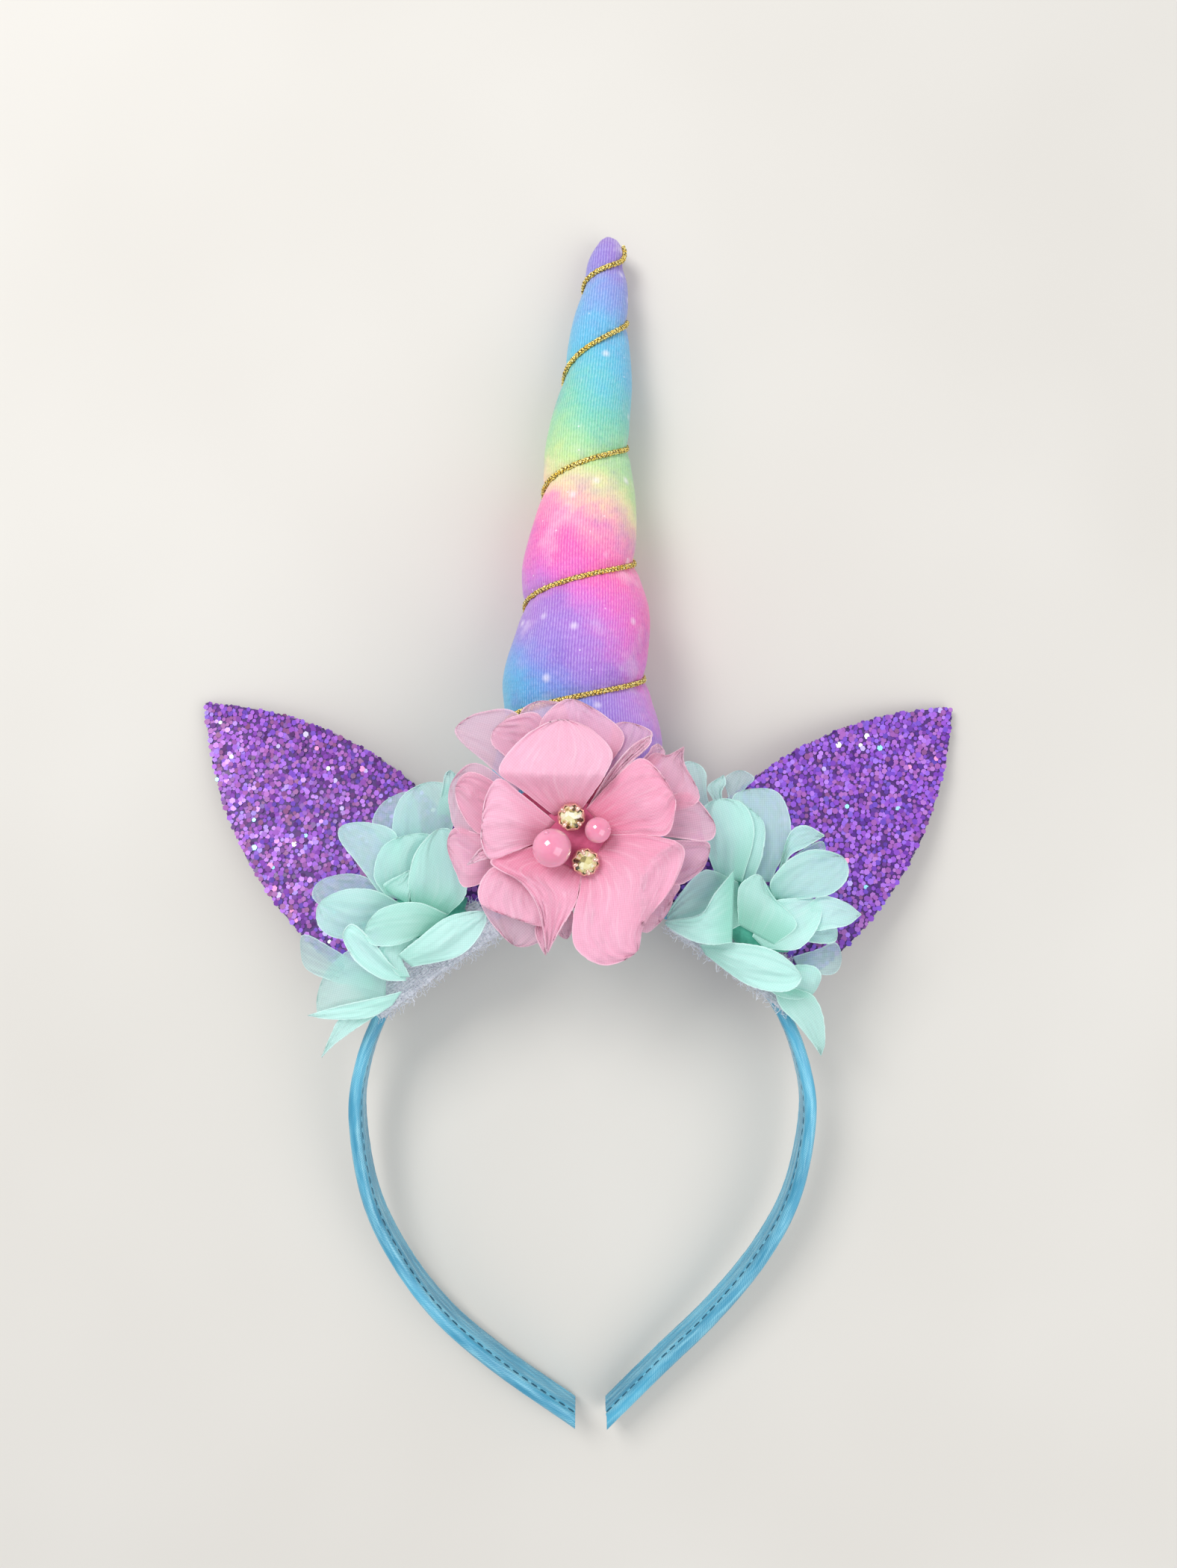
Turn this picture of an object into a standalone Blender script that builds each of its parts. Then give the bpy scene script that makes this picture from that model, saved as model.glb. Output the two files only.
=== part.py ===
# A child's unicorn horn headband, lying on its back with the flowers up.
# Sizes are in millimetres and are turned into metres where a mesh or curve is made.
# While it is modelled, x = 0 is the band's middle, y = 0 the top of its arch and z = 0 the floor.
import math
from collections import namedtuple

import bmesh
import bpy
from mathutils import Vector

MM = 0.001
UP = Vector((0, 0, 1))
SEAT_GAP = 0.3  # between pieces that touch on the real thing
SHARP_ANGLE = math.radians(40)  # edges that turn more than this stay sharp
SLOPE_STEP = 0.01  # share of a surface over which its slope is measured

# Alice band: a satin-covered strip on edge, bent to a half circle and two legs that close in.
STRIP_THICKNESS = 3.3
STRIP_WIDTH = 10.0
STRIP_CORNER = 1.2
ARCH_RADIUS = 58.6
ARCH_HEIGHT = 20.0  # of the strip's middle over the floor, at the arch
BAND_TILT = math.radians(6.0)  # the tips lie on the floor
ARCH_STEPS = 13
STATION_SPACING = 9.0
# x and distance down from the arch's top, along each leg from the arch to its tip
LEFT_LEG = ((-55.8, -79), (-48.6, -96), (-37.4, -112), (-22.2, -126), (-2.0, -141))
RIGHT_LEG = ((55.0, -79), (46.6, -96), (34.2, -112), (20.6, -126), (6.4, -141))

# White woven tape under each petal cluster, across the front edge of the band.
TAPE_WIDTH = 9.0
TAPE_THICKNESS = 1.2
TAPE_STATION_SPACING = 6.3
TAPE_ENDS = ((-54.4, -25.8), (-40.6, -15.2), (-24.2, -4.0))  # outer end, middle, inner end; mirrored

# Horn: a stuffed cone lying on the floor, puffed out between the turns of its cord.
Ring = namedtuple("Ring", "y x radius")
HORN_RINGS = (
    Ring(2.3, -1.0, 18.4), Ring(6, -1.0, 20.2), Ring(20, -1.0, 21.4), Ring(38, -1.0, 20.7),
    Ring(49, -1.3, 19.0), Ring(60, -0.9, 18.0), Ring(72, 0.0, 16.6), Ring(85, 0.0, 14.8),
    Ring(98, 0.7, 13.1), Ring(109, 1.2, 11.7), Ring(122, 2.0, 10.4), Ring(134, 3.4, 9.3),
    Ring(146, 4.5, 7.9), Ring(156, 5.4, 6.6), Ring(164, 6.1, 5.3), Ring(170, 6.6, 4.2),
    Ring(173.4, 6.8, 2.6), Ring(174.7, 6.8, 0.8),
)
HORN_AXIS_HEIGHT = 22.3  # of the cone's axis, over its thick end
HORN_AXIS_FALL = 0.116  # how far the axis comes down for each millimetre towards the tip
HORN_THICK_END = 25.0
HORN_SIDES = 18
HORN_ROWS = 36
PUFF_SHARE = 0.045  # of the radius, in and out, between the cord and the middle of a puff

# Gold cord: where it passes the right and left edge of the horn in turn, from the tip down.
CORD_DIAMETER = 1.3
CORD_TO_HORN = 0.45  # more than SEAT_GAP, because the horn's flat faces bulge between its rings
CORD_START_BEND = 1.2  # radians in which it turns from its start, straight down the right edge, to its winding
CORD_FIRST_HALF_TURN = 0.1
CORD_EDGES = (172.5, 166.9, 160.5, 150.6, 135.2, 116.1, 104.2, 85.3, 73.7, 55.1, 43.5, 26.0)
CORD_LAST_HALF_TURN = 10.9
CORD_STEPS_PER_HALF_TURN = 10

# Ears: pointed leaves between two arcs, cut off where they meet the band.
EAR_HALF_CHORD = 64.0
EAR_HALF_WIDTH = 24.2
EAR_TO_BAND = 0.8  # seen from the front; the band's tilted side comes nearer
EAR_THICKNESS = 2.0
EAR_ROWS = 9
EAR_COLUMNS = 4
EAR_TIP_HEIGHT = 1.3  # of the sheet's middle over the floor
EAR_BASE_HEIGHT = 17.0
EAR_RISE_POWER = 1.15  # above 1, it rises faster towards the band
EAR_DISH = 1.6  # how far the edges stand above the middle
EAR_LEAST_HALF_WIDTH = 0.5  # at the tip
EAR_FIRST_LENGTH = 85.0  # a first guess, from which the length up to the band is worked out
Ear = namedtuple("Ear", "name tip_x tip_y heading")
EARS = (
    Ear("ear_left", -102.0, 49.8, math.radians(-43.6)),
    Ear("ear_right", 99.9, 48.6, math.radians(223.2)),
)

# Petals: a row for each, from its root to its tip.
# width is the widest, at the share of the length given by widest; point is 0 for a round tip and 1
# for a sharp one; bow bends the petal to its left, arch up; cup lifts both edges and roll tips it over.
Petal = namedtuple("Petal", "name x0 y0 z0 x1 y1 z1 width widest point bow arch cup roll")
PETAL_THICKNESS = 1.0
PETAL_ROOT_WIDTH = 0.42  # share of the full width
PETAL_LEAST_HALF_WIDTH = 0.45  # at the tip
PETAL_ROWS = 5
PETAL_COLUMNS = 3
MINT_LEFT = (
    Petal("back_sliver", -43, 2, 26.5, -52.5, 23, 20.5, 14, 0.6, 0.2, -1, 1, 1, 12),
    Petal("back_tall", -40, 0, 27.5, -40, 29, 25, 16, 0.6, 0.1, 0, 1.5, 1, 0),
    Petal("back_small", -36, 2, 27.5, -33.9, 31.4, 27, 8, 0.7, 0.0, 0, 1, 0.6, -8),
    Petal("upper_left", -42, 0, 29, -61.2, 15.2, 26, 14, 0.55, 0.5, -1, 2, 1, 8),
    Petal("upper_mid", -40, 0, 30, -45.5, 15.6, 33, 13, 0.6, 0.1, 0, 1, 1.5, 10),
    Petal("upper_right", -37, -3, 31, -34.6, 17.0, 35, 14, 0.62, 0.1, 0, 0.5, 1.5, -8),
    Petal("low_far", -43, -4, 28, -68.2, -1.4, 23.5, 12, 0.65, 0.1, -1, 1, 1.2, 0),
    Petal("left_round", -41, -5, 30, -66.0, -5.6, 28.5, 12.5, 0.68, 0.1, -1.5, 2, 1.5, 6),
    Petal("centre_round", -35, -5, 32, -53.0, -7.6, 34.5, 11, 0.6, 0.1, 0.5, 2, 1.5, 0),
    Petal("cupped_left", -36, -9, 31, -58.2, -8.4, 34.0, 10, 0.7, 0.1, -3.0, 0.5, 2.6, 14),
    Petal("front_leaf", -41, -11, 31, -23.4, -4.2, 35.5, 11, 0.5, 0.2, -2.0, 2, 1.5, 10),
    Petal("low_sheer", -44, -7, 28.5, -73.0, -16.4, 16.0, 12, 0.7, 0.2, 2, 3.5, 1, 0),
    Petal("low_tail", -44, -10, 28.5, -67.4, -28.6, 20.5, 14, 0.65, 0.35, 1, 3.5, 1, 0),
    Petal("long_point", -40, -12, 29, -69.0, -30.4, 24.0, 8.5, 0.4, 0.9, 1.2, 1.5, 1.2, 10),
    Petal("spike", -42, -14, 28, -65.6, -40.8, 22.0, 7.5, 0.45, 1.0, -1.2, 1, 1, 0),
)
MINT_RIGHT = (
    Petal("back_sliver", 37, 3, 27, 27.2, 33.2, 27, 11, 0.65, 0.2, 0, 1, 1, 0),
    Petal("back_small", 39, 4, 27, 35.2, 31.0, 26.5, 8, 0.7, 0.2, 0, 1, 1, 0),
    Petal("back_round", 41, 3, 26.5, 41.0, 31.5, 22.5, 10, 0.7, 0.1, 0, 1, 1, 0),
    Petal("upright", 39, 0, 30, 34.4, 24.6, 34.5, 15, 0.62, 0.1, 1, 1, 1.5, -6),
    Petal("upright_edge", 41, 0, 29, 42.2, 21.6, 31.5, 12, 0.66, 0.1, 0, 1, 1, 8),
    Petal("back_wide", 42, 0, 28, 48.4, 26.4, 26, 17, 0.62, 0.1, 0, 2, 1, 10),
    Petal("folded_point", 43, 0, 30, 59.6, 15.8, 31.5, 9, 0.6, 0.6, 1, 2, 1.5, -12),
    Petal("right_round", 43, -2, 30, 65.2, 7.0, 29.5, 13, 0.66, 0.15, 1, 2, 1.5, -10),
    Petal("right_point", 45, -6, 29, 70.2, -4.2, 26, 11, 0.6, 0.7, 0.5, 2, 1.2, 0),
    Petal("right_fold", 45, -8, 29.5, 64.4, -9.6, 25.5, 9, 0.7, 0.4, 0, 2, 1.5, 8),
    Petal("low_round", 46, -8, 27, 65.6, -17.0, 17, 11, 0.7, 0.1, 0, 2, 1, 0),
    Petal("centre_back", 43, -9, 31, 45.0, 5.4, 34, 13, 0.6, 0.1, 0, 0.5, 1, 14),
    Petal("front_cone", 40, -6, 32, 20.0, -5.0, 36, 15.5, 0.42, 0.55, 0, 2, 2.6, 10),
    Petal("front_lower", 39, -8, 31, 52.0, -19.6, 33, 15, 0.62, 0.1, 1.5, 2, 1.5, 0),
    Petal("low_pale", 47, -10, 28.5, 58.4, -25.2, 24.5, 10.5, 0.7, 0.2, 0, 2, 1, 0),
    Petal("tail", 47, -11, 28.5, 60.4, -40.6, 20.5, 8.5, 0.4, 0.9, 2.0, 3, 1, 0),
)
FLOWER_OUTER = (
    Petal("upper_left", -6, 19, 44.6, -29.2, 42.0, 42.5, 18, 0.68, 0.1, 0, 0.6, 0.8, 0),
    Petal("top_left", -3, 21, 44.6, -9.6, 47.6, 44.5, 18, 0.7, 0.1, 0, 0.4, 0.8, 0),
    Petal("top_right", -1, 21, 44.6, 2.4, 47.4, 44.0, 20, 0.7, 0.15, 0, 0.4, 0.8, 0),
    Petal("right_top", 2, 20, 44.6, 16.4, 41.6, 43.5, 15, 0.66, 0.7, 0, 0.6, 0.8, 0),
    Petal("right_point", 3, 18, 44.6, 26.4, 36.2, 42.4, 15, 0.62, 0.8, 0, 0.8, 0.8, 0),
    Petal("right", 4, 15, 44.6, 31.8, 18.6, 41.0, 19, 0.66, 0.1, 0, 0.9, 0.8, 0),
    Petal("left_upper", -6, 17, 44.6, -31.0, 26.4, 41.4, 18, 0.68, 0.1, 0, 0.9, 0.8, 0),
    Petal("left_lower", -6, 14, 44.6, -31.4, 10.2, 41.0, 17, 0.66, 0.1, 0, 0.9, 0.8, 0),
    Petal("lower_left", -5, 11, 44.6, -18.4, -7.4, 40.0, 19, 0.68, 0.1, 0, 1.2, 0.8, 0),
    Petal("bottom", 0, 10, 44.6, -4.0, -9.5, 40.5, 12, 0.7, 0.2, 0, 1.2, 0.5, 0),
)
FLOWER_INNER = (
    Petal("top_back", -3.2, 21.4, 46.3, -5.6, 43.2, 50.0, 27, 0.62, 0.05, 0, -0.4, 1.2, 0),
    Petal("top_flap", -3.2, 21.4, 46.3, -6.2, 33.4, 53.4, 27, 0.78, 0.0, 0, -1.4, 1.6, 0),
    Petal("left", -7.2, 16.4, 46.3, -24.4, 19.6, 52.0, 21, 0.66, 0.15, 0, -1.8, 2.0, 0),
    Petal("right_upper", 3.6, 19.4, 46.3, 19.8, 31.6, 52.0, 20, 0.64, 0.1, 0, -1.8, 2.0, 0),
    Petal("right_lower", 4.6, 13.2, 46.3, 29.4, 9.6, 51.0, 20, 0.66, 0.15, 0, -1.6, 1.8, 0),
    Petal("bottom_right", 0.6, 9.6, 46.3, 7.6, -15.0, 49.0, 22, 0.66, 0.1, 0, -1.0, 1.8, 0),
    Petal("left_lower", -5.6, 10.6, 46.3, -15.2, -6.6, 50.5, 20, 0.58, 0.45, 1.5, -1.6, 1.8, 0),
)

# Gathered roots and backings that the petals are sewn to.
Root = namedtuple("Root", "x y z half_length half_width half_height turn")
MINT_ROOT_LEFT = Root(-39.5, -5.5, 29.9, 13.0, 8.5, 3.4, math.radians(36))
MINT_ROOT_RIGHT = Root(42.5, -4.5, 29.3, 13.0, 8.5, 3.4, math.radians(-36))
OUTER_BACKING = Root(-1.2, 15.2, 44.75, 9.5, 9.5, 0.75, 0)
INNER_BACKING = Root(-1.2, 15.2, 46.6, 8.6, 8.6, 0.75, 0)
ROOT_SIDES = 16
ROOT_RINGS = ((0.55, -1.0), (0.9, -0.6), (1.0, 0.0), (0.9, 0.6), (0.55, 1.0))  # shares of length, of height

# Beads and stones at the flower's centre.
Bead = namedtuple("Bead", "name x y diameter")
BEADS = (Bead("pearl_large", -6.8, 13.6, 8.9), Bead("pearl_small", 3.7, 17.6, 6.0))
BEAD_SEGMENTS = 14
BEAD_RINGS = 8
Stone = namedtuple("Stone", "name x y turn")
STONES = (Stone("upper", -2.4, 20.6, 0.1), Stone("lower", 0.9, 10.2, 0.25))
STONE_DIAMETER = 5.2
STONE_TABLE = 0.56  # share of the diameter
STONE_CROWN = 0.95
STONE_GIRDLE = 0.25
STONE_PAVILION = 1.5
CLAWS = 8
CUP_WALL = 0.35
CUP_FLOOR = 0.5
CUP_FOOT = 0.55  # shares of the cup's radius, at its foot and at its swell
CUP_SWELL = 0.9
CUP_SWELL_HEIGHT = 0.7
CUP_BRIM_DROP = 1.0  # below the stone's girdle, where the cup's wall ends
NOTCH_DROP = 0.6  # below the girdle, between the claws
CLAW_RISE = 0.75  # above the girdle
CLAW_LEAN = 0.45  # inwards over the stone

# Colour, roughness and metallic value of each finish.
Finish = namedtuple("Finish", "colour roughness metallic")
FINISHES = {
    "satin_blue": Finish((0.11, 0.45, 0.70), 0.38, 0.0),
    "tape_white": Finish((0.80, 0.80, 0.88), 0.90, 0.0),
    "horn_cloth": Finish((0.52, 0.42, 0.76), 0.80, 0.0),
    "cord_gold": Finish((0.60, 0.40, 0.06), 0.35, 0.9),
    "glitter_purple": Finish((0.20, 0.05, 0.46), 0.30, 0.2),
    "chiffon_mint": Finish((0.36, 0.70, 0.60), 0.60, 0.0),
    "chiffon_pink": Finish((0.86, 0.30, 0.42), 0.60, 0.0),
    "pearl_pink": Finish((0.78, 0.26, 0.40), 0.15, 0.0),
    "crystal": Finish((0.80, 0.72, 0.42), 0.02, 0.0),
    "rose_gold": Finish((0.72, 0.38, 0.28), 0.25, 1.0),
}


def finish(name):
    material = bpy.data.materials.get(name)
    if material is None:
        material = bpy.data.materials.new(name)
        material.use_nodes = True
        shader = material.node_tree.nodes["Principled BSDF"]
        values = FINISHES[name]
        shader.inputs["Base Color"].default_value = (*values.colour, 1)
        shader.inputs["Roughness"].default_value = values.roughness
        shader.inputs["Metallic"].default_value = values.metallic
    return material


def add_object(name, data, finish_name, frame):
    piece = bpy.data.objects.new(name, data)
    data.materials.append(finish(finish_name))
    bpy.context.scene.collection.objects.link(piece)
    piece.parent = frame
    return piece


def mesh_of(name, points, faces, smooth=True):
    """A closed mesh in metres from points in millimetres, with its faces turned outwards."""
    build = bmesh.new()
    corners = [build.verts.new(Vector(point) * MM) for point in points]
    for face in faces:
        build.faces.new([corners[index] for index in face])
    bmesh.ops.recalc_face_normals(build, faces=build.faces)
    mesh = bpy.data.meshes.new(name)
    build.to_mesh(mesh)
    build.free()
    if smooth:
        mesh.shade_smooth()
        mesh.set_sharp_from_angle(angle=SHARP_ANGLE)
    return mesh


def rings_to_solid(rings):
    """Joins rings of points into one closed skin, with a flat face on the first and last ring."""
    sides = len(rings[0])
    points = [point for ring in rings for point in ring]
    faces = [tuple(range(sides)), tuple(range(len(points) - sides, len(points)))]
    for row in range(len(rings) - 1):
        for side in range(sides):
            a = row * sides + side
            b = row * sides + (side + 1) % sides
            faces.append((a, b, b + sides, a + sides))
    return points, faces


def wall_of(surface, rows, columns, thickness):
    """A closed wall of even thickness round surface(t, s), with t from 0 to 1 and s from -1 to 1."""
    step = SLOPE_STEP
    upper, lower = [], []
    for row in range(rows + 1):
        for column in range(columns + 1):
            t = row / rows
            s = 2 * column / columns - 1
            t_near = min(max(t, step), 1 - 3 * step)
            along = surface(t_near + step, s) - surface(t_near - step, s)
            across = surface(t_near, s + step) - surface(t_near, s - step)
            normal = along.cross(across).normalized()
            normal = normal if normal.z > 0 else -normal
            middle = surface(t, s)
            upper.append(middle + normal * thickness / 2)
            lower.append(middle - normal * thickness / 2)
    count = len(upper)
    across_count = columns + 1
    faces = []
    for row in range(rows):
        for column in range(columns):
            a = row * across_count + column
            face = (a, a + 1, a + 1 + across_count, a + across_count)
            faces.append(face)
            faces.append(tuple(index + count for index in face))
    edge = [row * across_count for row in range(rows + 1)]
    edge += [rows * across_count + column for column in range(1, columns + 1)]
    edge += [row * across_count + columns for row in range(rows - 1, -1, -1)]
    edge += list(range(columns - 1, 0, -1))
    for index, here in enumerate(edge):
        after = edge[(index + 1) % len(edge)]
        faces.append((here, after, after + count, here + count))
    return upper + lower, faces


def smooth_route(points, spacing):
    """Points at an even spacing along a smooth curve through the given ones."""
    knots = [Vector(point) for point in points]
    ends = [2 * knots[0] - knots[1]] + knots + [2 * knots[-1] - knots[-2]]
    fine = []
    pieces = 24
    for index in range(1, len(ends) - 2):
        before, start, end, after = ends[index - 1 : index + 3]
        for piece in range(pieces):
            t = piece / pieces
            fine.append(
                0.5
                * (
                    2 * start
                    + (end - before) * t
                    + (2 * before - 5 * start + 4 * end - after) * t**2
                    + (3 * start - before - 3 * end + after) * t**3
                )
            )
    fine.append(knots[-1])
    lengths = [0.0]
    for a, b in zip(fine, fine[1:]):
        lengths.append(lengths[-1] + (b - a).length)
    count = max(2, round(lengths[-1] / spacing))
    route = []
    index = 0
    for station in range(count + 1):
        wanted = lengths[-1] * station / count
        while index < len(lengths) - 2 and lengths[index + 1] < wanted:
            index += 1
        share = (wanted - lengths[index]) / (lengths[index + 1] - lengths[index])
        route.append(fine[index].lerp(fine[index + 1], share))
    return route


def on_band(x, down, out):
    """A point given in the band's own tilted plane: across, along it from the arch's top, and out of it."""
    rise = Vector((0, math.cos(BAND_TILT), math.sin(BAND_TILT)))
    front = Vector((0, -math.sin(BAND_TILT), math.cos(BAND_TILT)))
    return Vector((x, 0, ARCH_HEIGHT)) + rise * down + front * out


def strip_section():
    """Corner points of the strip's rounded section, as (thickness, width) offsets."""
    half_thickness = STRIP_THICKNESS / 2
    half_width = STRIP_WIDTH / 2
    section = []
    for across, along in ((1, 1), (-1, 1), (-1, -1), (1, -1)):
        near = (across * half_thickness, along * (half_width - STRIP_CORNER))
        far = (across * (half_thickness - STRIP_CORNER), along * half_width)
        section += [near, far] if across * along > 0 else [far, near]
    return section


def make_band(frame):
    arch = []
    for step in range(ARCH_STEPS + 1):
        angle = math.pi * (1 - step / ARCH_STEPS)
        arch.append((ARCH_RADIUS * math.cos(angle), ARCH_RADIUS * (math.sin(angle) - 1)))
    points = [*reversed(LEFT_LEG), *arch, *RIGHT_LEG]
    route = smooth_route([(x, down, 0) for x, down in points], STATION_SPACING)
    section = strip_section()
    rings = []
    for index, here in enumerate(route):
        before = route[max(index - 1, 0)]
        after = route[min(index + 1, len(route) - 1)]
        along = (after - before).normalized()
        outward = Vector((-along.y, along.x, 0))
        ring = []
        for thick, wide in section:
            point = here + outward * thick
            if index in (0, len(route) - 1):  # both ends are cut straight down the band's middle line
                point += along * (here.x - point.x) / along.x
            ring.append(on_band(point.x, point.y, wide))
        rings.append(ring)
    add_object("band", mesh_of("band", *rings_to_solid(rings)), "satin_blue", frame)


def make_tape(name, side, frame):
    route = smooth_route([(side * -x, down, 0) for x, down in TAPE_ENDS], TAPE_STATION_SPACING)
    low = STRIP_WIDTH / 2 + SEAT_GAP
    high = low + TAPE_THICKNESS
    half = TAPE_WIDTH / 2
    rings = []
    for index, here in enumerate(route):
        along = route[min(index + 1, len(route) - 1)] - route[max(index - 1, 0)]
        outward = Vector((-along.y, along.x, 0)).normalized()
        corners = ((-half, low), (half, low), (half, high), (-half, high))
        ring = []
        for offset, out in corners:
            point = here + outward * offset
            ring.append(on_band(point.x, point.y, out))
        rings.append(ring)
    add_object(name, mesh_of(name, *rings_to_solid(rings)), "tape_white", frame)


def table_value(rows, key, value, at):
    """Reads a value out of a table at a place between two rows, along a smooth curve."""
    last = len(rows) - 1
    at = min(max(at, getattr(rows[0], key)), getattr(rows[last], key))
    index = 0
    while index < last - 1 and getattr(rows[index + 1], key) < at:
        index += 1
    low, high = rows[index], rows[index + 1]
    span = getattr(high, key) - getattr(low, key)
    share = (at - getattr(low, key)) / span

    def slope(i):
        a, b = rows[max(i - 1, 0)], rows[min(i + 1, last)]
        return (getattr(b, value) - getattr(a, value)) / (getattr(b, key) - getattr(a, key))

    start, end = getattr(low, value), getattr(high, value)
    smooth = share * share * (3 - 2 * share)
    pull = share * (1 - share) * span
    return (
        start + (end - start) * smooth
        + pull * (1 - share) * slope(index)
        - pull * share * slope(index + 1)
    )


def cord_height(half_turn):
    """How far up the horn the cord is, at this many half turns from the tip."""
    low = min(int(half_turn), len(CORD_EDGES) - 2)
    return CORD_EDGES[low] + (CORD_EDGES[low + 1] - CORD_EDGES[low]) * (half_turn - low)


def half_turns_at(y):
    for index in range(len(CORD_EDGES) - 1):
        high, low = CORD_EDGES[index], CORD_EDGES[index + 1]
        if y >= low:
            return index + (high - y) / (high - low)
    return len(CORD_EDGES) - 1 + (CORD_EDGES[-1] - y) / (CORD_EDGES[-2] - CORD_EDGES[-1])


def cord_angle(half_turn):
    """Its angle round the horn. Each half turn from the right edge is pi more, and the start stays on that edge."""
    turned = math.pi * (half_turn - 1)
    return (turned + math.hypot(turned, CORD_START_BEND)) / 2


def horn_point(y, angle, lift=0.0):
    """A point on the horn: angle 0 is at its right edge, a quarter turn is its front."""
    radius = table_value(HORN_RINGS, "y", "radius", y)
    turns = (half_turns_at(y) - 1) / 2 - angle / (2 * math.pi)
    radius *= 1 - PUFF_SHARE * math.cos(2 * math.pi * turns)
    centre = horn_axis(y)
    around = Vector((math.cos(angle), 0, math.sin(angle)))
    return centre + around * (radius + lift)


def horn_axis(y):
    height = HORN_AXIS_HEIGHT - HORN_AXIS_FALL * max(y - HORN_THICK_END, 0)
    return Vector((table_value(HORN_RINGS, "y", "x", y), y, height))


def make_horn(frame):
    bottom, tip = HORN_RINGS[0].y, HORN_RINGS[-1].y
    heights = [bottom + (tip - bottom) * (row / HORN_ROWS) for row in range(HORN_ROWS)]
    heights += [HORN_RINGS[-2].y, tip]
    rings = []
    for y in heights:
        turn = 2 * math.pi / HORN_SIDES
        rings.append([horn_point(y, turn * side) for side in range(HORN_SIDES)])
    add_object("horn", mesh_of("horn", *rings_to_solid(rings)), "horn_cloth", frame)


def make_cord(frame):
    """One cord from the tip down, across the front from the right edge to the left and back round behind."""
    first = CORD_FIRST_HALF_TURN
    count = round((CORD_LAST_HALF_TURN - first) * CORD_STEPS_PER_HALF_TURN)
    curve = bpy.data.curves.new("gold_cord", "CURVE")
    curve.dimensions = "3D"
    curve.resolution_u = 1
    curve.render_resolution_u = 0
    curve.bevel_depth = CORD_DIAMETER / 2 * MM
    curve.bevel_resolution = 1
    curve.use_fill_caps = True
    spline = curve.splines.new("POLY")
    spline.points.add(count)
    for index in range(count + 1):
        half_turn = first + (CORD_LAST_HALF_TURN - first) * index / count
        lift = CORD_DIAMETER / 2 + CORD_TO_HORN
        point = horn_point(cord_height(half_turn), cord_angle(half_turn), lift) * MM
        spline.points[index].co = (*point, 1)
    add_object("gold_cord", curve, "cord_gold", frame)


def make_ear(ear, frame):
    radius = (EAR_HALF_CHORD**2 + EAR_HALF_WIDTH**2) / (2 * EAR_HALF_WIDTH)
    along = Vector((math.cos(ear.heading), math.sin(ear.heading), 0))
    across = Vector((-along.y, along.x, 0))
    tip = Vector((ear.tip_x, ear.tip_y, 0))
    arch_middle = Vector((0, -ARCH_RADIUS, 0))
    arch_side = ARCH_RADIUS + STRIP_THICKNESS / 2 + EAR_TO_BAND

    def half_width(run):
        half = math.sqrt(radius**2 - (run - EAR_HALF_CHORD) ** 2) - (radius - EAR_HALF_WIDTH)
        return max(half, EAR_LEAST_HALF_WIDTH)

    def length_at(s):
        """How far it is from the tip to the band, at this share of the width."""
        run = EAR_FIRST_LENGTH
        for _ in range(4):
            start = tip + across * half_width(run) * s - arch_middle
            ahead = -start.dot(along)
            run = ahead - math.sqrt(ahead**2 - start.length_squared + arch_side**2)
        return run

    def surface(t, s):
        run = length_at(s) * t
        half = half_width(run)
        height = EAR_TIP_HEIGHT + (EAR_BASE_HEIGHT - EAR_TIP_HEIGHT) * t**EAR_RISE_POWER
        height += EAR_DISH * s * s * math.sin(math.pi * min(t, 1))
        return tip + along * run + across * half * s + UP * height

    mesh = mesh_of(ear.name, *wall_of(surface, EAR_ROWS, EAR_COLUMNS, EAR_THICKNESS))
    add_object(ear.name, mesh, "glitter_purple", frame)


def petal_surface(petal):
    root = Vector((petal.x0, petal.y0, petal.z0))
    tip = Vector((petal.x1, petal.y1, petal.z1))
    run = Vector((tip.x - root.x, tip.y - root.y, 0)).normalized()
    left = Vector((-run.y, run.x, 0))
    roll = math.radians(petal.roll)
    across = left * math.cos(roll) + UP * math.sin(roll)

    def breadth(t):
        if t < petal.widest:
            swell = math.sin(math.pi / 2 * t / petal.widest)
            return PETAL_ROOT_WIDTH + (1 - PETAL_ROOT_WIDTH) * swell
        beyond = (t - petal.widest) / (1 - petal.widest)
        return max((1 - beyond**2), 0) ** (0.5 + 0.5 * petal.point)

    def surface(t, s):
        bend = 4 * t * (1 - t)
        half = max(petal.width / 2 * breadth(t), PETAL_LEAST_HALF_WIDTH)
        middle = root.lerp(tip, t) + left * petal.bow * bend + UP * petal.arch * bend
        return middle + across * half * s + UP * petal.cup * s * s * breadth(t) * t

    return surface


def root_solid(root):
    """A flattened round lump, wider than it is high."""
    rings = []
    for share, level in ROOT_RINGS:
        ring = []
        for side in range(ROOT_SIDES):
            angle = 2 * math.pi * side / ROOT_SIDES
            x = root.half_length * share * math.cos(angle)
            y = root.half_width * share * math.sin(angle)
            ring.append(
                Vector(
                    (
                        root.x + x * math.cos(root.turn) - y * math.sin(root.turn),
                        root.y + x * math.sin(root.turn) + y * math.cos(root.turn),
                        root.z + root.half_height * level,
                    )
                )
            )
        rings.append(ring)
    return rings_to_solid(rings)


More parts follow.
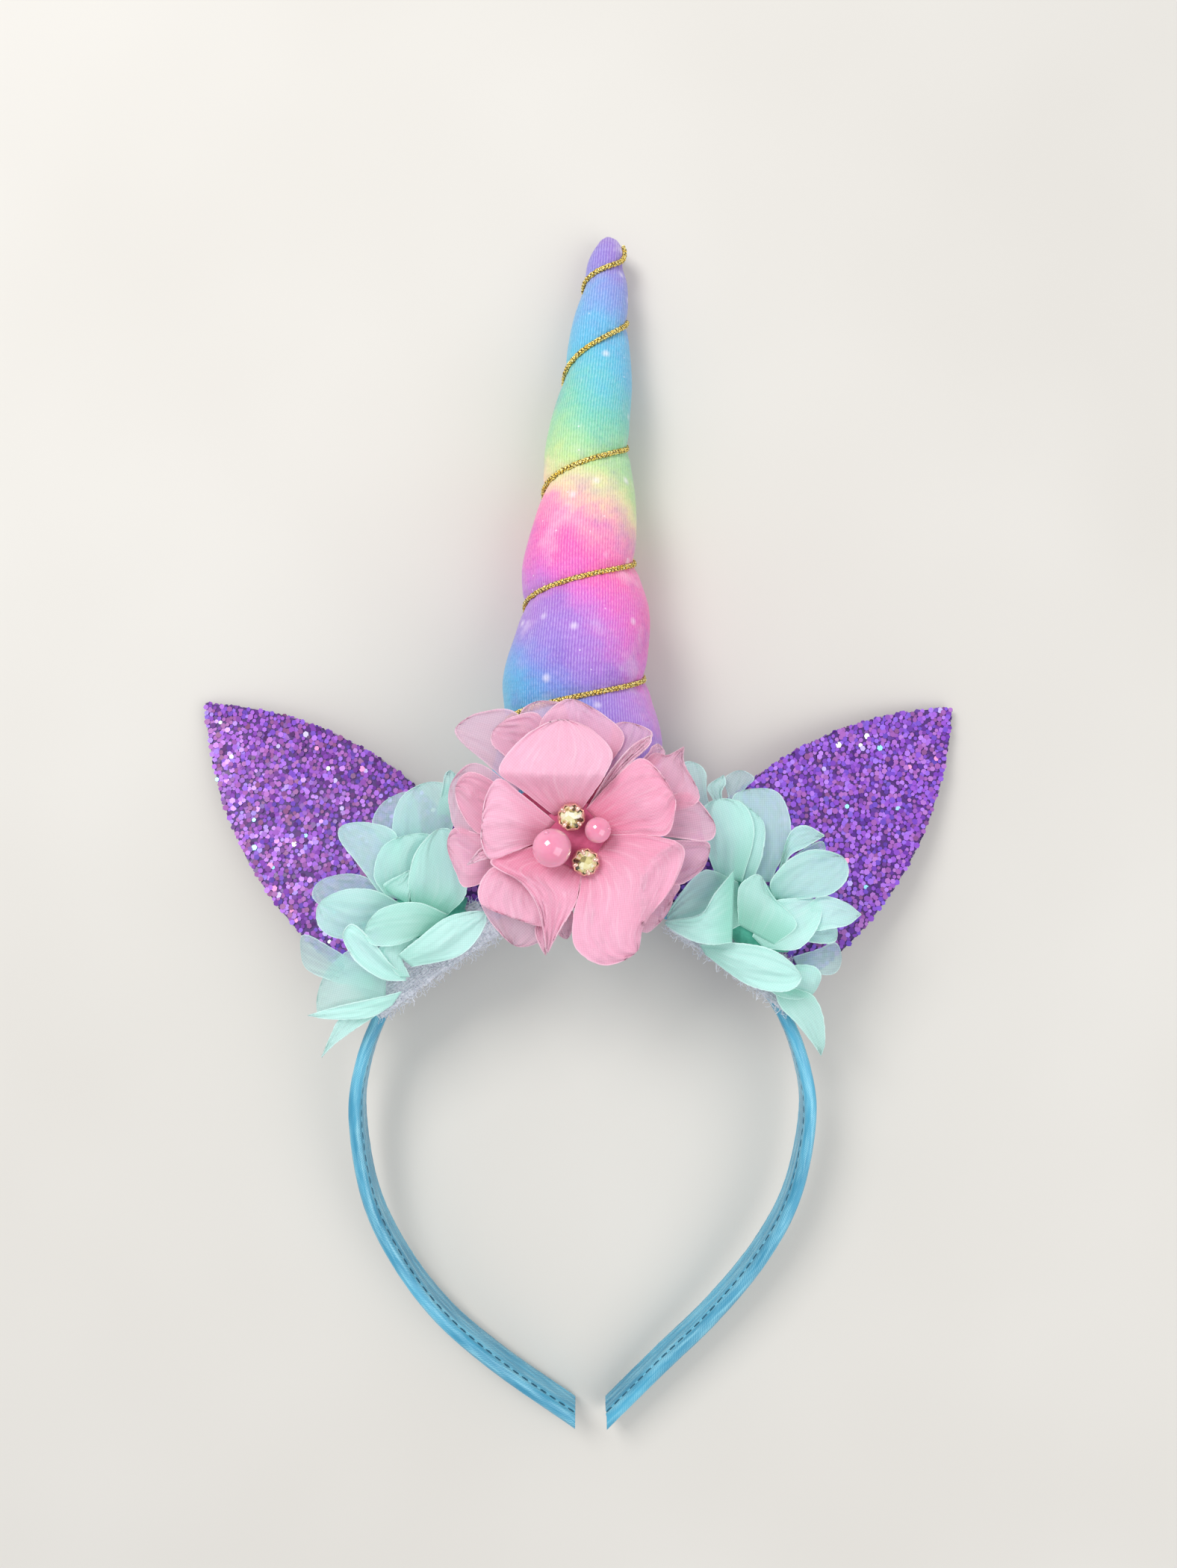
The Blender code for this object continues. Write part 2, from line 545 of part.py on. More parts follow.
def make_petals(name, root, petals, finish_name, frame):
    """One sewn bunch: every petal is joined to the root, and to the petals that it crosses."""
    bunch = add_object(name, mesh_of(name, *root_solid(root)), finish_name, frame)
    cutters = bpy.data.collections.new(name + "_petals")
    bpy.context.scene.collection.children.link(cutters)
    cutters.hide_render = True
    for petal in petals:
        wall = wall_of(petal_surface(petal), PETAL_ROWS, PETAL_COLUMNS, PETAL_THICKNESS)
        label = f"{name}_{petal.name}"
        cutter = bpy.data.objects.new(label, mesh_of(label, *wall))
        cutter.data.materials.append(finish(finish_name))
        cutter.parent = frame
        cutter.hide_render = True
        cutter.display_type = "WIRE"
        cutters.objects.link(cutter)
    union = bunch.modifiers.new("Join petals", "BOOLEAN")
    union.operation = "UNION"
    union.solver = "MANIFOLD"  # the exact solver leaves this many crossing walls open
    union.operand_type = "COLLECTION"
    union.collection = cutters


def make_bead(bead, seat, frame):
    mesh = bpy.data.meshes.new(bead.name)
    build = bmesh.new()
    radius = bead.diameter / 2 * MM
    bmesh.ops.create_uvsphere(build, u_segments=BEAD_SEGMENTS, v_segments=BEAD_RINGS, radius=radius)
    build.to_mesh(mesh)
    build.free()
    mesh.shade_smooth()
    piece = add_object(bead.name, mesh, "pearl_pink", frame)
    piece.location = Vector((bead.x, bead.y, seat + bead.diameter / 2)) * MM


def circle(count, radius, height, turn=0.0):
    step = 2 * math.pi / count
    return [
        Vector((radius * math.cos(turn + step * i), radius * math.sin(turn + step * i), height))
        for i in range(count)
    ]


def make_stone(stone, seat, frame):
    """A round cut stone, with an eight-sided table and kite facets down to a sixteen-sided girdle."""
    radius = STONE_DIAMETER / 2
    girdle_low = CUP_FLOOR + SEAT_GAP + STONE_PAVILION
    girdle_high = girdle_low + STONE_GIRDLE
    half_step = math.pi / CLAWS
    table = circle(CLAWS, radius * STONE_TABLE, girdle_high + STONE_CROWN, half_step)
    high = circle(2 * CLAWS, radius, girdle_high)
    low = circle(2 * CLAWS, radius, girdle_low)
    point = [Vector((0, 0, CUP_FLOOR + SEAT_GAP))]
    points = table + high + low + point
    high_start, low_start = CLAWS, 3 * CLAWS
    culet = len(points) - 1
    faces = [tuple(range(CLAWS))]
    for i in range(CLAWS):
        girdle = 2 * i + 1
        after = (girdle + 1) % (2 * CLAWS)
        before = (girdle - 1) % (2 * CLAWS)
        faces.append((i, high_start + before, high_start + girdle))
        faces.append((i, high_start + girdle, high_start + after))
        faces.append((i, high_start + after, (i + 1) % CLAWS))
    for i in range(2 * CLAWS):
        after = (i + 1) % (2 * CLAWS)
        faces.append((high_start + i, high_start + after, low_start + after, low_start + i))
        faces.append((low_start + i, low_start + after, culet))
    name = "stone_" + stone.name
    piece = add_object(name, mesh_of(name, points, faces, smooth=False), "crystal", frame)
    piece.location = Vector((stone.x, stone.y, seat)) * MM
    piece.rotation_euler.z = stone.turn


def make_setting(stone, seat, frame):
    """A cup with a claw at every second point of its rim, leaning in over the stone's girdle."""
    inner = STONE_DIAMETER / 2 + SEAT_GAP
    outer = inner + CUP_WALL
    girdle = CUP_FLOOR + SEAT_GAP + STONE_PAVILION + STONE_GIRDLE
    count = 2 * CLAWS

    def rim(radius):
        ring = circle(count, radius, girdle - NOTCH_DROP)
        for i in range(0, count, 2):
            flat = Vector((ring[i].x, ring[i].y, 0)).normalized()
            ring[i] = flat * (radius - CLAW_LEAN) + UP * (girdle + CLAW_RISE)
        return ring

    rings = [
        circle(count, outer * CUP_FOOT, 0),
        circle(count, outer * CUP_SWELL, CUP_SWELL_HEIGHT),
        circle(count, outer, girdle - CUP_BRIM_DROP),
        rim(outer),
        rim(inner),
        circle(count, inner, girdle - CUP_BRIM_DROP),
        circle(count, inner * CUP_FOOT, CUP_FLOOR),
    ]
    name = "setting_" + stone.name
    piece = add_object(name, mesh_of(name, *rings_to_solid(rings)), "rose_gold", frame)
    piece.location = Vector((stone.x, stone.y, seat)) * MM
    piece.rotation_euler.z = stone.turn


def stand_at_origin(frame):
    """Moves the whole headband so that the origin is under the middle of its box."""
    bpy.context.view_layer.update()
    graph = bpy.context.evaluated_depsgraph_get()
    low, high = Vector((1, 1, 1)) * 1e9, Vector((-1, -1, -1)) * 1e9
    for piece in bpy.context.scene.collection.objects:
        if piece.type not in ("MESH", "CURVE"):
            continue
        shape = piece.evaluated_get(graph)
        mesh = shape.to_mesh()
        for vertex in mesh.vertices:
            place = shape.matrix_world @ vertex.co
            low = Vector(map(min, low, place))
            high = Vector(map(max, high, place))
        shape.to_mesh_clear()
    frame.location = (-(low.x + high.x) / 2, -(low.y + high.y) / 2, -low.z)


def main():
    for old in list(bpy.data.objects):
        bpy.data.objects.remove(old)
    frame = bpy.data.objects.new("headband", None)
    bpy.context.scene.collection.objects.link(frame)
    make_band(frame)
    make_tape("tape_left", -1, frame)
    make_tape("tape_right", 1, frame)
    make_horn(frame)
    make_cord(frame)
    for ear in EARS:
        make_ear(ear, frame)
    make_petals("mint_petals_left", MINT_ROOT_LEFT, MINT_LEFT, "chiffon_mint", frame)
    make_petals("mint_petals_right", MINT_ROOT_RIGHT, MINT_RIGHT, "chiffon_mint", frame)
    make_petals("flower_outer", OUTER_BACKING, FLOWER_OUTER, "chiffon_pink", frame)
    make_petals("flower_inner", INNER_BACKING, FLOWER_INNER, "chiffon_pink", frame)
    seat = INNER_BACKING.z + INNER_BACKING.half_height + SEAT_GAP
    for bead in BEADS:
        make_bead(bead, seat, frame)
    for stone in STONES:
        make_stone(stone, seat, frame)
        make_setting(stone, seat, frame)
    stand_at_origin(frame)


main()
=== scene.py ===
# Looks of a child's unicorn horn headband: printed stuffed horn, braided gold cord, glitter ears,
# chiffon petals and a satin-covered band. Lengths here are millimetres until a mesh is made.
import math

import bmesh
import bpy
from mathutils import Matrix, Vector, noise


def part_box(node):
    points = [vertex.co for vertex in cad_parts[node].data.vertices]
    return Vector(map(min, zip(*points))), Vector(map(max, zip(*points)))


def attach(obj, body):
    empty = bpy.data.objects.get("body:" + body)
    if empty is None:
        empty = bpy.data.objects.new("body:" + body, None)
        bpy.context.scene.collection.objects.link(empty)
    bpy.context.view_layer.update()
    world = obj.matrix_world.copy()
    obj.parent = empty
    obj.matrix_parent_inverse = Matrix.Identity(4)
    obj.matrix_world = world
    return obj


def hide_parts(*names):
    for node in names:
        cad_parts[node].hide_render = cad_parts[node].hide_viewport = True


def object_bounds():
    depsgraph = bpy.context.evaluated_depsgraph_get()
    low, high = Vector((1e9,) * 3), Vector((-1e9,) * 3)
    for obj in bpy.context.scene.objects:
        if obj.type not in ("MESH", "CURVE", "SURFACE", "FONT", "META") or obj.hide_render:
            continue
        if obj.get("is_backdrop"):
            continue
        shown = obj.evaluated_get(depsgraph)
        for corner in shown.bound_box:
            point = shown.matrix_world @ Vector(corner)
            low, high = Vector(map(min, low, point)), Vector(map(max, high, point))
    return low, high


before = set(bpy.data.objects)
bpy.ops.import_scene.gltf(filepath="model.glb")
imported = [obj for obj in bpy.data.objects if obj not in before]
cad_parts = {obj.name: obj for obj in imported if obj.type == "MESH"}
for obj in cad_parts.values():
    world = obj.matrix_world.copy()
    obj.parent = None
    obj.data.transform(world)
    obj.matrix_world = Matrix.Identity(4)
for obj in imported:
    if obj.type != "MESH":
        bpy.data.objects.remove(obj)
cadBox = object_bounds()
mm = 0.001
up = Vector((0, 0, 1))
print("frame loaded")

# The large pearl tells where the design's own zero lies: the band's middle, its arch's top, the floor.
pearl = {"x": -6.8, "y": 13.6, "z": 52.1, "diameter": 8.9}
pearlLow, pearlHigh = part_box("pearl_large")
zero = (Vector(pearlLow) + Vector(pearlHigh)) / 2 - Vector((pearl["x"], pearl["y"], pearl["z"])) * mm


def inFrame(point):  # design millimetres to the frame's metres
    return zero + Vector(point) * mm


# Node graphs


class Wire:  # one output socket, so that sums on it read as plain Python
    def __init__(self, graph, socket):
        self.graph, self.socket = graph, socket

    def __add__(self, other):
        return self.graph.sum("ADD", self, other)

    def __sub__(self, other):
        return self.graph.sum("SUBTRACT", self, other)

    def __rsub__(self, other):
        return self.graph.sum("SUBTRACT", other, self)

    def __mul__(self, other):
        return self.graph.sum("MULTIPLY", self, other)

    def __truediv__(self, other):
        return self.graph.sum("DIVIDE", self, other)

    __radd__ = __add__
    __rmul__ = __mul__


class Made:  # a node whose outputs are read by name or number
    def __init__(self, graph, node):
        self.graph, self.node = graph, node

    def __getitem__(self, key):
        return Wire(self.graph, self.node.outputs[key])


class Graph:
    def __init__(self, tree):
        self.tree = tree

    def put(self, value, socket):
        if isinstance(value, Wire):
            self.tree.links.new(value.socket, socket)
        elif hasattr(socket.default_value, "__len__") and len(value) < len(socket.default_value):
            socket.default_value = (*value, 1)
        else:
            socket.default_value = value

    def add(self, kind, settings=None, sockets=None):
        node = self.tree.nodes.new(kind)
        for key, value in (settings or {}).items():
            if key == "stops":
                for place, colour in value[2:]:
                    node.color_ramp.elements.new(place)
                for element, (place, colour) in zip(node.color_ramp.elements, value):
                    element.position, element.color = place, (*colour, 1)
            elif key == "interpolation":
                node.color_ramp.interpolation = value
            else:
                setattr(node, key, value)
        for key, value in (sockets or {}).items():
            self.put(value, node.inputs[key])
        return Made(self, node)

    def sum(self, operation, a, b=0.0):
        return self.add("ShaderNodeMath", {"operation": operation}, {0: a, 1: b})[0]

    def clamp(self, value):
        return self.add("ShaderNodeMath", {"operation": "ADD", "use_clamp": True}, {0: value, 1: 0.0})[0]

    def span(self, value, low, high, start=0.0, end=1.0):  # smooth step from low to high
        sockets = {0: value, 1: low, 2: high, 3: start, 4: end}
        return self.add("ShaderNodeMapRange", {"interpolation_type": "SMOOTHSTEP"}, sockets)[0]

    def mix(self, share, a, b):
        return self.add("ShaderNodeMix", {"data_type": "RGBA"}, {0: share, 6: a, 7: b})[2]

    def noise(self, place, scale, detail=3.0, rough=0.5, distortion=0.0):
        sockets = {"Vector": place, "Scale": scale, "Detail": detail, "Roughness": rough}
        sockets["Distortion"] = distortion
        return self.add("ShaderNodeTexNoise", None, sockets)["Fac"]

    def ramp(self, share, stops, interpolation="LINEAR"):
        settings = {"stops": stops, "interpolation": interpolation}
        return self.add("ShaderNodeValToRGB", settings, {0: share})["Color"]

    def stretch(self, place, scale, location=(0, 0, 0)):
        sockets = {"Vector": place, "Location": location, "Scale": scale}
        return self.add("ShaderNodeMapping", None, sockets)["Vector"]

    def cells(self, place, scale):  # distance to a cell's middle, and one random number for each cell
        cell = self.add("ShaderNodeTexVoronoi", {"feature": "F1"}, {"Vector": place, "Scale": scale})
        return cell["Distance"], self.add("ShaderNodeSeparateColor", None, {0: cell["Color"]})[0]

    def vector(self, operation, a, b=None, scale=1.0):
        sockets = {0: a, "Scale": scale} if operation == "SCALE" else {0: a, 1: b}
        return self.add("ShaderNodeVectorMath", {"operation": operation}, sockets)[0]

    def randomNumber(self, low, high, seed=0):
        sockets = {2: low, 3: high, "Seed": seed}
        return self.add("FunctionNodeRandomValue", {"data_type": "FLOAT"}, sockets)[1]

    def randomTurn(self, seed, lean, limits=None):  # leans up to so much two ways and spins freely
        sockets = {0: (-lean, -lean, 0), 1: (lean, lean, 6.28), "Seed": seed}
        turn = self.add("FunctionNodeRandomValue", {"data_type": "FLOAT_VECTOR"}, sockets)[0]
        if limits is not None:
            turn = self.vector("MULTIPLY", turn, limits)
        return self.add("FunctionNodeEulerToRotation", None, {0: turn})[0]

    def bump(self, height, strength, distance, under=None):
        sockets = {"Height": height, "Strength": strength, "Distance": distance}
        if under is not None:
            sockets["Normal"] = under
        return self.add("ShaderNodeBump", None, sockets)["Normal"]


def colour(text):  # "#5db3dc" as Blender's linear numbers
    parts = [int(text[i : i + 2], 16) / 255 for i in (1, 3, 5)]
    return tuple(p / 12.92 if p <= 0.04045 else ((p + 0.055) / 1.055) ** 2.4 for p in parts)


def newMaterial(name, steady):  # steady holds the values that are the same all over
    material = bpy.data.materials.new(name)
    material.use_nodes = True
    graph = Graph(material.node_tree)
    shader = material.node_tree.nodes["Principled BSDF"]
    for key, value in steady.items():
        graph.put(value, shader.inputs[key])
    return material, graph, shader


def place(graph):
    return graph.add("ShaderNodeTexCoord")["Object"]


def mottle(graph, shader, scale, low, high, detail=2.0, rough=0.5):  # two colours, mixed by a cloud
    tone = graph.noise(place(graph), scale, detail, rough)
    graph.put(graph.mix(tone, colour(low), colour(high)), shader.inputs["Base Color"])
    return tone


def uv(graph):
    wire = graph.add("ShaderNodeUVMap", {"uv_map": "cloth"})["UV"]
    split = graph.add("ShaderNodeSeparateXYZ", None, {0: wire})
    return wire, split[0], split[1]


def attribute(graph, name):
    return graph.add("ShaderNodeAttribute", {"attribute_name": name})["Fac"]


# Meshes


def meshPiece(name, points, faces, uvs=None, values=None, smooth=True):
    mesh = bpy.data.meshes.new(name)
    mesh.from_pydata([inFrame(p) for p in points], [], faces)
    if uvs:
        layer = mesh.uv_layers.new(name="cloth")
        for loop in mesh.loops:
            layer.data[loop.index].uv = uvs[loop.vertex_index]
    for key, numbers in (values or {}).items():
        mesh.attributes.new(key, "FLOAT", "POINT").data.foreach_set("value", numbers)
    if smooth:
        mesh.shade_smooth()
    mesh.validate()
    piece = bpy.data.objects.new(name, mesh)
    bpy.context.scene.collection.objects.link(piece)
    return piece


def finishPiece(piece, material, replaced=()):
    if material:
        piece.data.materials.clear()
        piece.data.materials.append(material)
    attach(piece, "root")
    if replaced:
        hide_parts(*replaced)
    return piece


def tubeFaces(rows, sides):  # rings of points joined to a tube with flat ends
    faces = []
    for row in range(rows - 1):
        for side in range(sides):
            a, b = row * sides + side, row * sides + (side + 1) % sides
            faces.append((a, b, b + sides, a + sides))
    faces.append(tuple(range(sides - 1, -1, -1)))
    faces.append(tuple(range((rows - 1) * sides, rows * sides)))
    return faces


def outwards(piece):  # turns every face of a closed piece out
    build = bmesh.new()
    build.from_mesh(piece.data)
    bmesh.ops.recalc_face_normals(build, faces=build.faces)
    build.to_mesh(piece.data)
    build.free()


def splineAt(points, at):  # a smooth curve through all points but the first and last, which only guide it
    k = min(int(at), len(points) - 4)
    a, b, c, d = points[k : k + 4]
    t = at - k
    return 0.5 * (2 * b + (c - a) * t + (2 * a - 5 * b + 4 * c - d) * t**2 + (3 * b - a - 3 * c + d) * t**3)


def smoothRoute(points, spacing):  # evenly spaced points on a smooth curve through the given ones
    knots = [Vector(p) for p in points]
    ends = [2 * knots[0] - knots[1], *knots, 2 * knots[-1] - knots[-2]]
    parts = 24  # short straight parts between two knots
    fine = [splineAt(ends, i / parts) for i in range((len(knots) - 1) * parts)]
    fine.append(knots[-1])
    lengths = [0.0]
    for a, b in zip(fine, fine[1:]):
        lengths.append(lengths[-1] + (b - a).length)
    count = max(2, round(lengths[-1] / spacing))
    route, at = [], 0
    for station in range(count + 1):
        wanted = lengths[-1] * station / count
        while at < len(lengths) - 2 and lengths[at + 1] < wanted:
            at += 1
        route.append(fine[at].lerp(fine[at + 1], (wanted - lengths[at]) / (lengths[at + 1] - lengths[at])))
    return route


def tableValue(rows, column, at):  # reads a table of rows (key, value, ...) along a smooth curve
    last = len(rows) - 1
    at = min(max(at, rows[0][0]), rows[last][0])
    i = 0
    while i < last - 1 and rows[i + 1][0] < at:
        i += 1
    low, high = rows[i], rows[i + 1]
    run = high[0] - low[0]
    share = (at - low[0]) / run

    def slope(k):
        a, b = rows[max(k - 1, 0)], rows[min(k + 1, last)]
        return (b[column] - a[column]) / (b[0] - a[0])

    pull = share * (1 - share) * run
    smooth = share * share * (3 - 2 * share)
    return (low[column] + (high[column] - low[column]) * smooth
            + pull * (1 - share) * slope(i) - pull * share * slope(i + 1))


# Geometry Nodes


def nodeTool(name, inputs):  # an empty tree with named inputs; returns its graph and input wires
    tree = bpy.data.node_groups.new(name, "GeometryNodeTree")
    tree.interface.new_socket("Geometry", in_out="INPUT", socket_type="NodeSocketGeometry")
    for key, kind in inputs.items():
        tree.interface.new_socket(key, in_out="INPUT", socket_type=kind)
    tree.interface.new_socket("Geometry", in_out="OUTPUT", socket_type="NodeSocketGeometry")
    graph = Graph(tree)
    return graph, graph.add("NodeGroupInput")


def endTool(graph, geometry, material):  # every tree ends the same way
    real = graph.add("GeometryNodeRealizeInstances", None, {0: geometry})[0]
    done = graph.add("GeometryNodeSetMaterial", None, {"Geometry": real, "Material": material})[0]
    graph.add("NodeGroupOutput", None, {0: done})


def runTool(graph, source, values, name):  # applies the tree to a source and returns a plain mesh object
    modifier = source.modifiers.new(name, "NODES")
    modifier.node_group = graph.tree
    for item in graph.tree.interface.items_tree:
        if item.in_out == "INPUT" and item.name in values:
            modifier[item.identifier] = values[item.name]
    depsgraph = bpy.context.evaluated_depsgraph_get()
    mesh = bpy.data.meshes.new_from_object(source.evaluated_get(depsgraph), depsgraph=depsgraph)
    mesh.name = name
    source.modifiers.remove(modifier)
    piece = bpy.data.objects.new(name, mesh)
    bpy.context.scene.collection.objects.link(piece)
    return piece


# Camera, light and floor

camera = {"x": 1.55, "y": 28.2, "height": 321.0, "lens": 27.04}  # straight down, as the phone was held
light = {"key": 4.4, "fill": 2.4, "world": 0.74}


def makeStage():
    view = bpy.data.cameras.new("camera")
    view.lens = camera["lens"]
    view.sensor_width = 36
    view.clip_start = 0.01
    eye = bpy.data.objects.new("camera", view)
    eye.location = inFrame((camera["x"], camera["y"], 0)) + up * camera["height"] * mm
    bpy.context.scene.collection.objects.link(eye)
    bpy.context.scene.camera = eye
    for name, spot, size, power in (
        ("key", (-380, 460, 700), 380, light["key"]),
        ("fill", (520, -260, 700), 700, light["fill"]),
    ):
        lamp = bpy.data.lights.new(name, "AREA")
        lamp.size, lamp.energy = size * mm, power
        holder = bpy.data.objects.new(name, lamp)
        holder.location = inFrame(spot)
        aim = inFrame((0, 20, 0)) - holder.location
        holder.rotation_euler = aim.to_track_quat("-Z", "Y").to_euler()
        bpy.context.scene.collection.objects.link(holder)
    world = bpy.data.worlds.new("studio")
    world.use_nodes = True
    world.node_tree.nodes["Background"].inputs[0].default_value = (0.93, 0.96, 1.0, 1)
    world.node_tree.nodes["Background"].inputs[1].default_value = light["world"]
    bpy.context.scene.world = world
    bpy.context.scene.view_settings.view_transform = "Standard"
    bpy.context.scene.cycles.transparent_max_bounces = 24
    half = 1500
    z = -zero.z / mm
    corners = [(-half, -half, z), (half, -half, z), (half, half, z), (-half, half, z)]
    floor = meshPiece("floor", corners, [(0, 1, 2, 3)], smooth=False)
    material, graph, shader = newMaterial("paleFloor", {"Roughness": 0.85})
    mottle(graph, shader, 9.0, "#cfcac2", "#dbd7d0")
    floor.data.materials.append(material)
    floor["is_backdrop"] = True


makeStage()
print("stage set")


# Band

band = {
    "thickness": 3.3, "width": 10.0, "corner": 1.35, "arch": 58.6, "height": 20.0,
    "tilt": math.radians(6.0), "archSteps": 13, "step": 1.3,
    "leftLeg": ((-55.8, -79), (-48.6, -96), (-37.4, -112), (-22.2, -126), (-2.0, -141)),
    "rightLeg": ((55.0, -79), (46.6, -96), (34.2, -112), (20.6, -126), (6.4, -141)),
    "seam": 2.1, "seamDepth": 0.4, "seamWidth": 0.4,  # how far the stitched seam lies below the front edge
    "stitch": 2.1, "stitchGap": 0.9, "thread": 0.2, "seamStep": 1.2, "threadLift": 0.24,
    "puff": 0.05, "pucker": 0.025,  # soft swells of the cloth, and small pulls beside each stitch
    # satinLight is a painted sheen colour for the satin's highlights
    "satin": "#45a9cb", "satinLight": "#aeecf8", "satinDeep": "#2886a8", "seamTone": "#7fd2e8",
}


def onBand(x, down, out):  # a point in the band's tilted plane
    rise = Vector((0, math.cos(band["tilt"]), math.sin(band["tilt"])))
    front = Vector((0, -math.sin(band["tilt"]), math.cos(band["tilt"])))
    return Vector((x, 0, band["height"])) + rise * down + front * out


def bandRoute(step):
    arch = []
    for i in range(band["archSteps"] + 1):
        angle = math.pi * (1 - i / band["archSteps"])
        arch.append((band["arch"] * math.cos(angle), band["arch"] * (math.sin(angle) - 1)))
    points = [*reversed(band["leftLeg"]), *arch, *band["rightLeg"]]
    return smoothRoute([(x, y, 0) for x, y in points], step)


def outwardOn(route, i):
    along = (route[min(i + 1, len(route) - 1)] - route[max(i - 1, 0)]).normalized()
    return Vector((-along.y, along.x, 0)), along


def satinMaterial():
    material, graph, shader = newMaterial("satin", {
        "Roughness": 0.3, "Specular IOR Level": 0.8, "Sheen Weight": 0.08, "Sheen Roughness": 0.3,
        "Sheen Tint": colour("#bfe6f7"),
    })
    wire = uv(graph)[0]
    cloud = graph.noise(graph.stretch(wire, (0.03, 0.12, 1)), 1.0, 3.0)
    slant = graph.add("ShaderNodeTexWave", {"wave_type": "BANDS", "bands_direction": "DIAGONAL"},
                      {"Vector": wire, "Scale": 1.3, "Distortion": 1.6, "Detail": 2.0})["Fac"]
    pull = graph.noise(graph.stretch(wire, (0.07, 0.75, 1)), 1.0, 3.0, 0.6)
    base = graph.mix(graph.span(cloud, 0.35, 0.7), colour(band["satinDeep"]), colour(band["satin"]))
    # painted sheen: lighter streaks along the diagonal weave and the long pulls stand for light caught by
    # the satin
    base = graph.mix(graph.span(slant * 0.25 + pull, 0.55, 0.85) * 0.55, base, colour(band["satinLight"]))
    seam = attribute(graph, "seam")
    # painted highlight along the seam's groove
    base = graph.mix(graph.span(seam, 0.25, 0.95) * 0.8, base, colour(band["seamTone"]))
    graph.put(base, shader.inputs["Base Color"])
    weave = graph.add("ShaderNodeTexWave", {"wave_type": "BANDS", "bands_direction": "X"},
                      {"Vector": wire, "Scale": 1.1, "Distortion": 0.3})["Fac"]
    normal = graph.bump(weave, 0.10, 0.0002)
    normal = graph.bump(pull, 0.5, 0.0009, normal)
    graph.put(graph.bump(slant, 0.07, 0.0003, normal), shader.inputs["Normal"])
    graph.put(graph.span(pull, 0.3, 0.7, 0.36, 0.22), shader.inputs["Roughness"])
    return material


def makeBand():
    route = bandRoute(band["step"])
    halfThick, halfWide, corner = band["thickness"] / 2, band["width"] / 2, band["corner"]
    outline = []  # (thickness, width, distance round the section)
    for cx, cy, start in ((1, 1, 0), (-1, 1, 90), (-1, -1, 180), (1, -1, 270)):
        for k in range(5):
            angle = math.radians(start + 22.5 * k)
            outline.append([cx * (halfThick - corner) + corner * math.cos(angle),
                            cy * (halfWide - corner) + corner * math.sin(angle)])
        if start == 90:  # the inner face, with room for the seam's groove
            for level in (0.7, 0.65, 0.61, 0.58, 0.55, 0.51, 0.46, 0.38, 0.2, 0.0, -0.3, -0.6):
                outline.append([-halfThick, halfWide * level])
        elif start == 270:
            for level in (-0.5, 0.0, 0.5):
                outline.append([halfThick, halfWide * level])
    sides = len(outline)
    points, uvs, seams = [], [], []
    for i, here in enumerate(route):
        out, along = outwardOn(route, i)
        run = i * band["step"]
        around = 0.0
        for k, (thick, wide) in enumerate(outline):
            inside = thick < 0
            offSeam = (halfWide - band["seam"] - wide) / band["seamWidth"]
            seam = math.exp(-(offSeam**2)) if inside else 0
            pulls = math.sin(run * 1.9 + 2 * noise.noise((run * 0.2, 5, 0))) * (1 if inside else 0.25)
            puff = band["puff"] * noise.noise((run * 0.35, wide * 0.3, thick)) + band["pucker"] * pulls
            groove = seam * band["seamDepth"] if thick < -1 else 0
            point = here + out * (thick + groove - puff * (-1 if inside else 1))
            if i in (0, len(route) - 1):
                point += along * (here.x - point.x) / along.x
            points.append(onBand(point.x, point.y, wide))
            if k:
                around += math.dist(outline[k - 1], outline[k])
            uvs.append((run, around))
            seams.append(seam)
    piece = meshPiece("satin_band", points, tubeFaces(len(route), sides), uvs, {"seam": seams})
    outwards(piece)
    piece.data.set_sharp_from_angle(angle=math.radians(50))
    finishPiece(piece, satinMaterial(), ["band"])


def seamLine(step, lift):  # the seam's route on the inner face, by its front edge
    route = bandRoute(step)
    line = []
    for i, here in enumerate(route):
        out = outwardOn(route, i)[0]
        point = here - out * (band["thickness"] / 2 - band["seamDepth"] + lift)
        line.append(onBand(point.x, point.y, band["width"] / 2 - band["seam"]))
    return line[2:-2]


def curveThrough(name, points):
    curve = bpy.data.curves.new(name, "CURVE")
    curve.dimensions = "3D"
    spline = curve.splines.new("POLY")
    spline.points.add(len(points) - 1)
    for i, point in enumerate(points):
        spline.points[i].co = (*inFrame(point), 1)
    holder = bpy.data.objects.new(name, curve)
    bpy.context.scene.collection.objects.link(holder)
    return holder


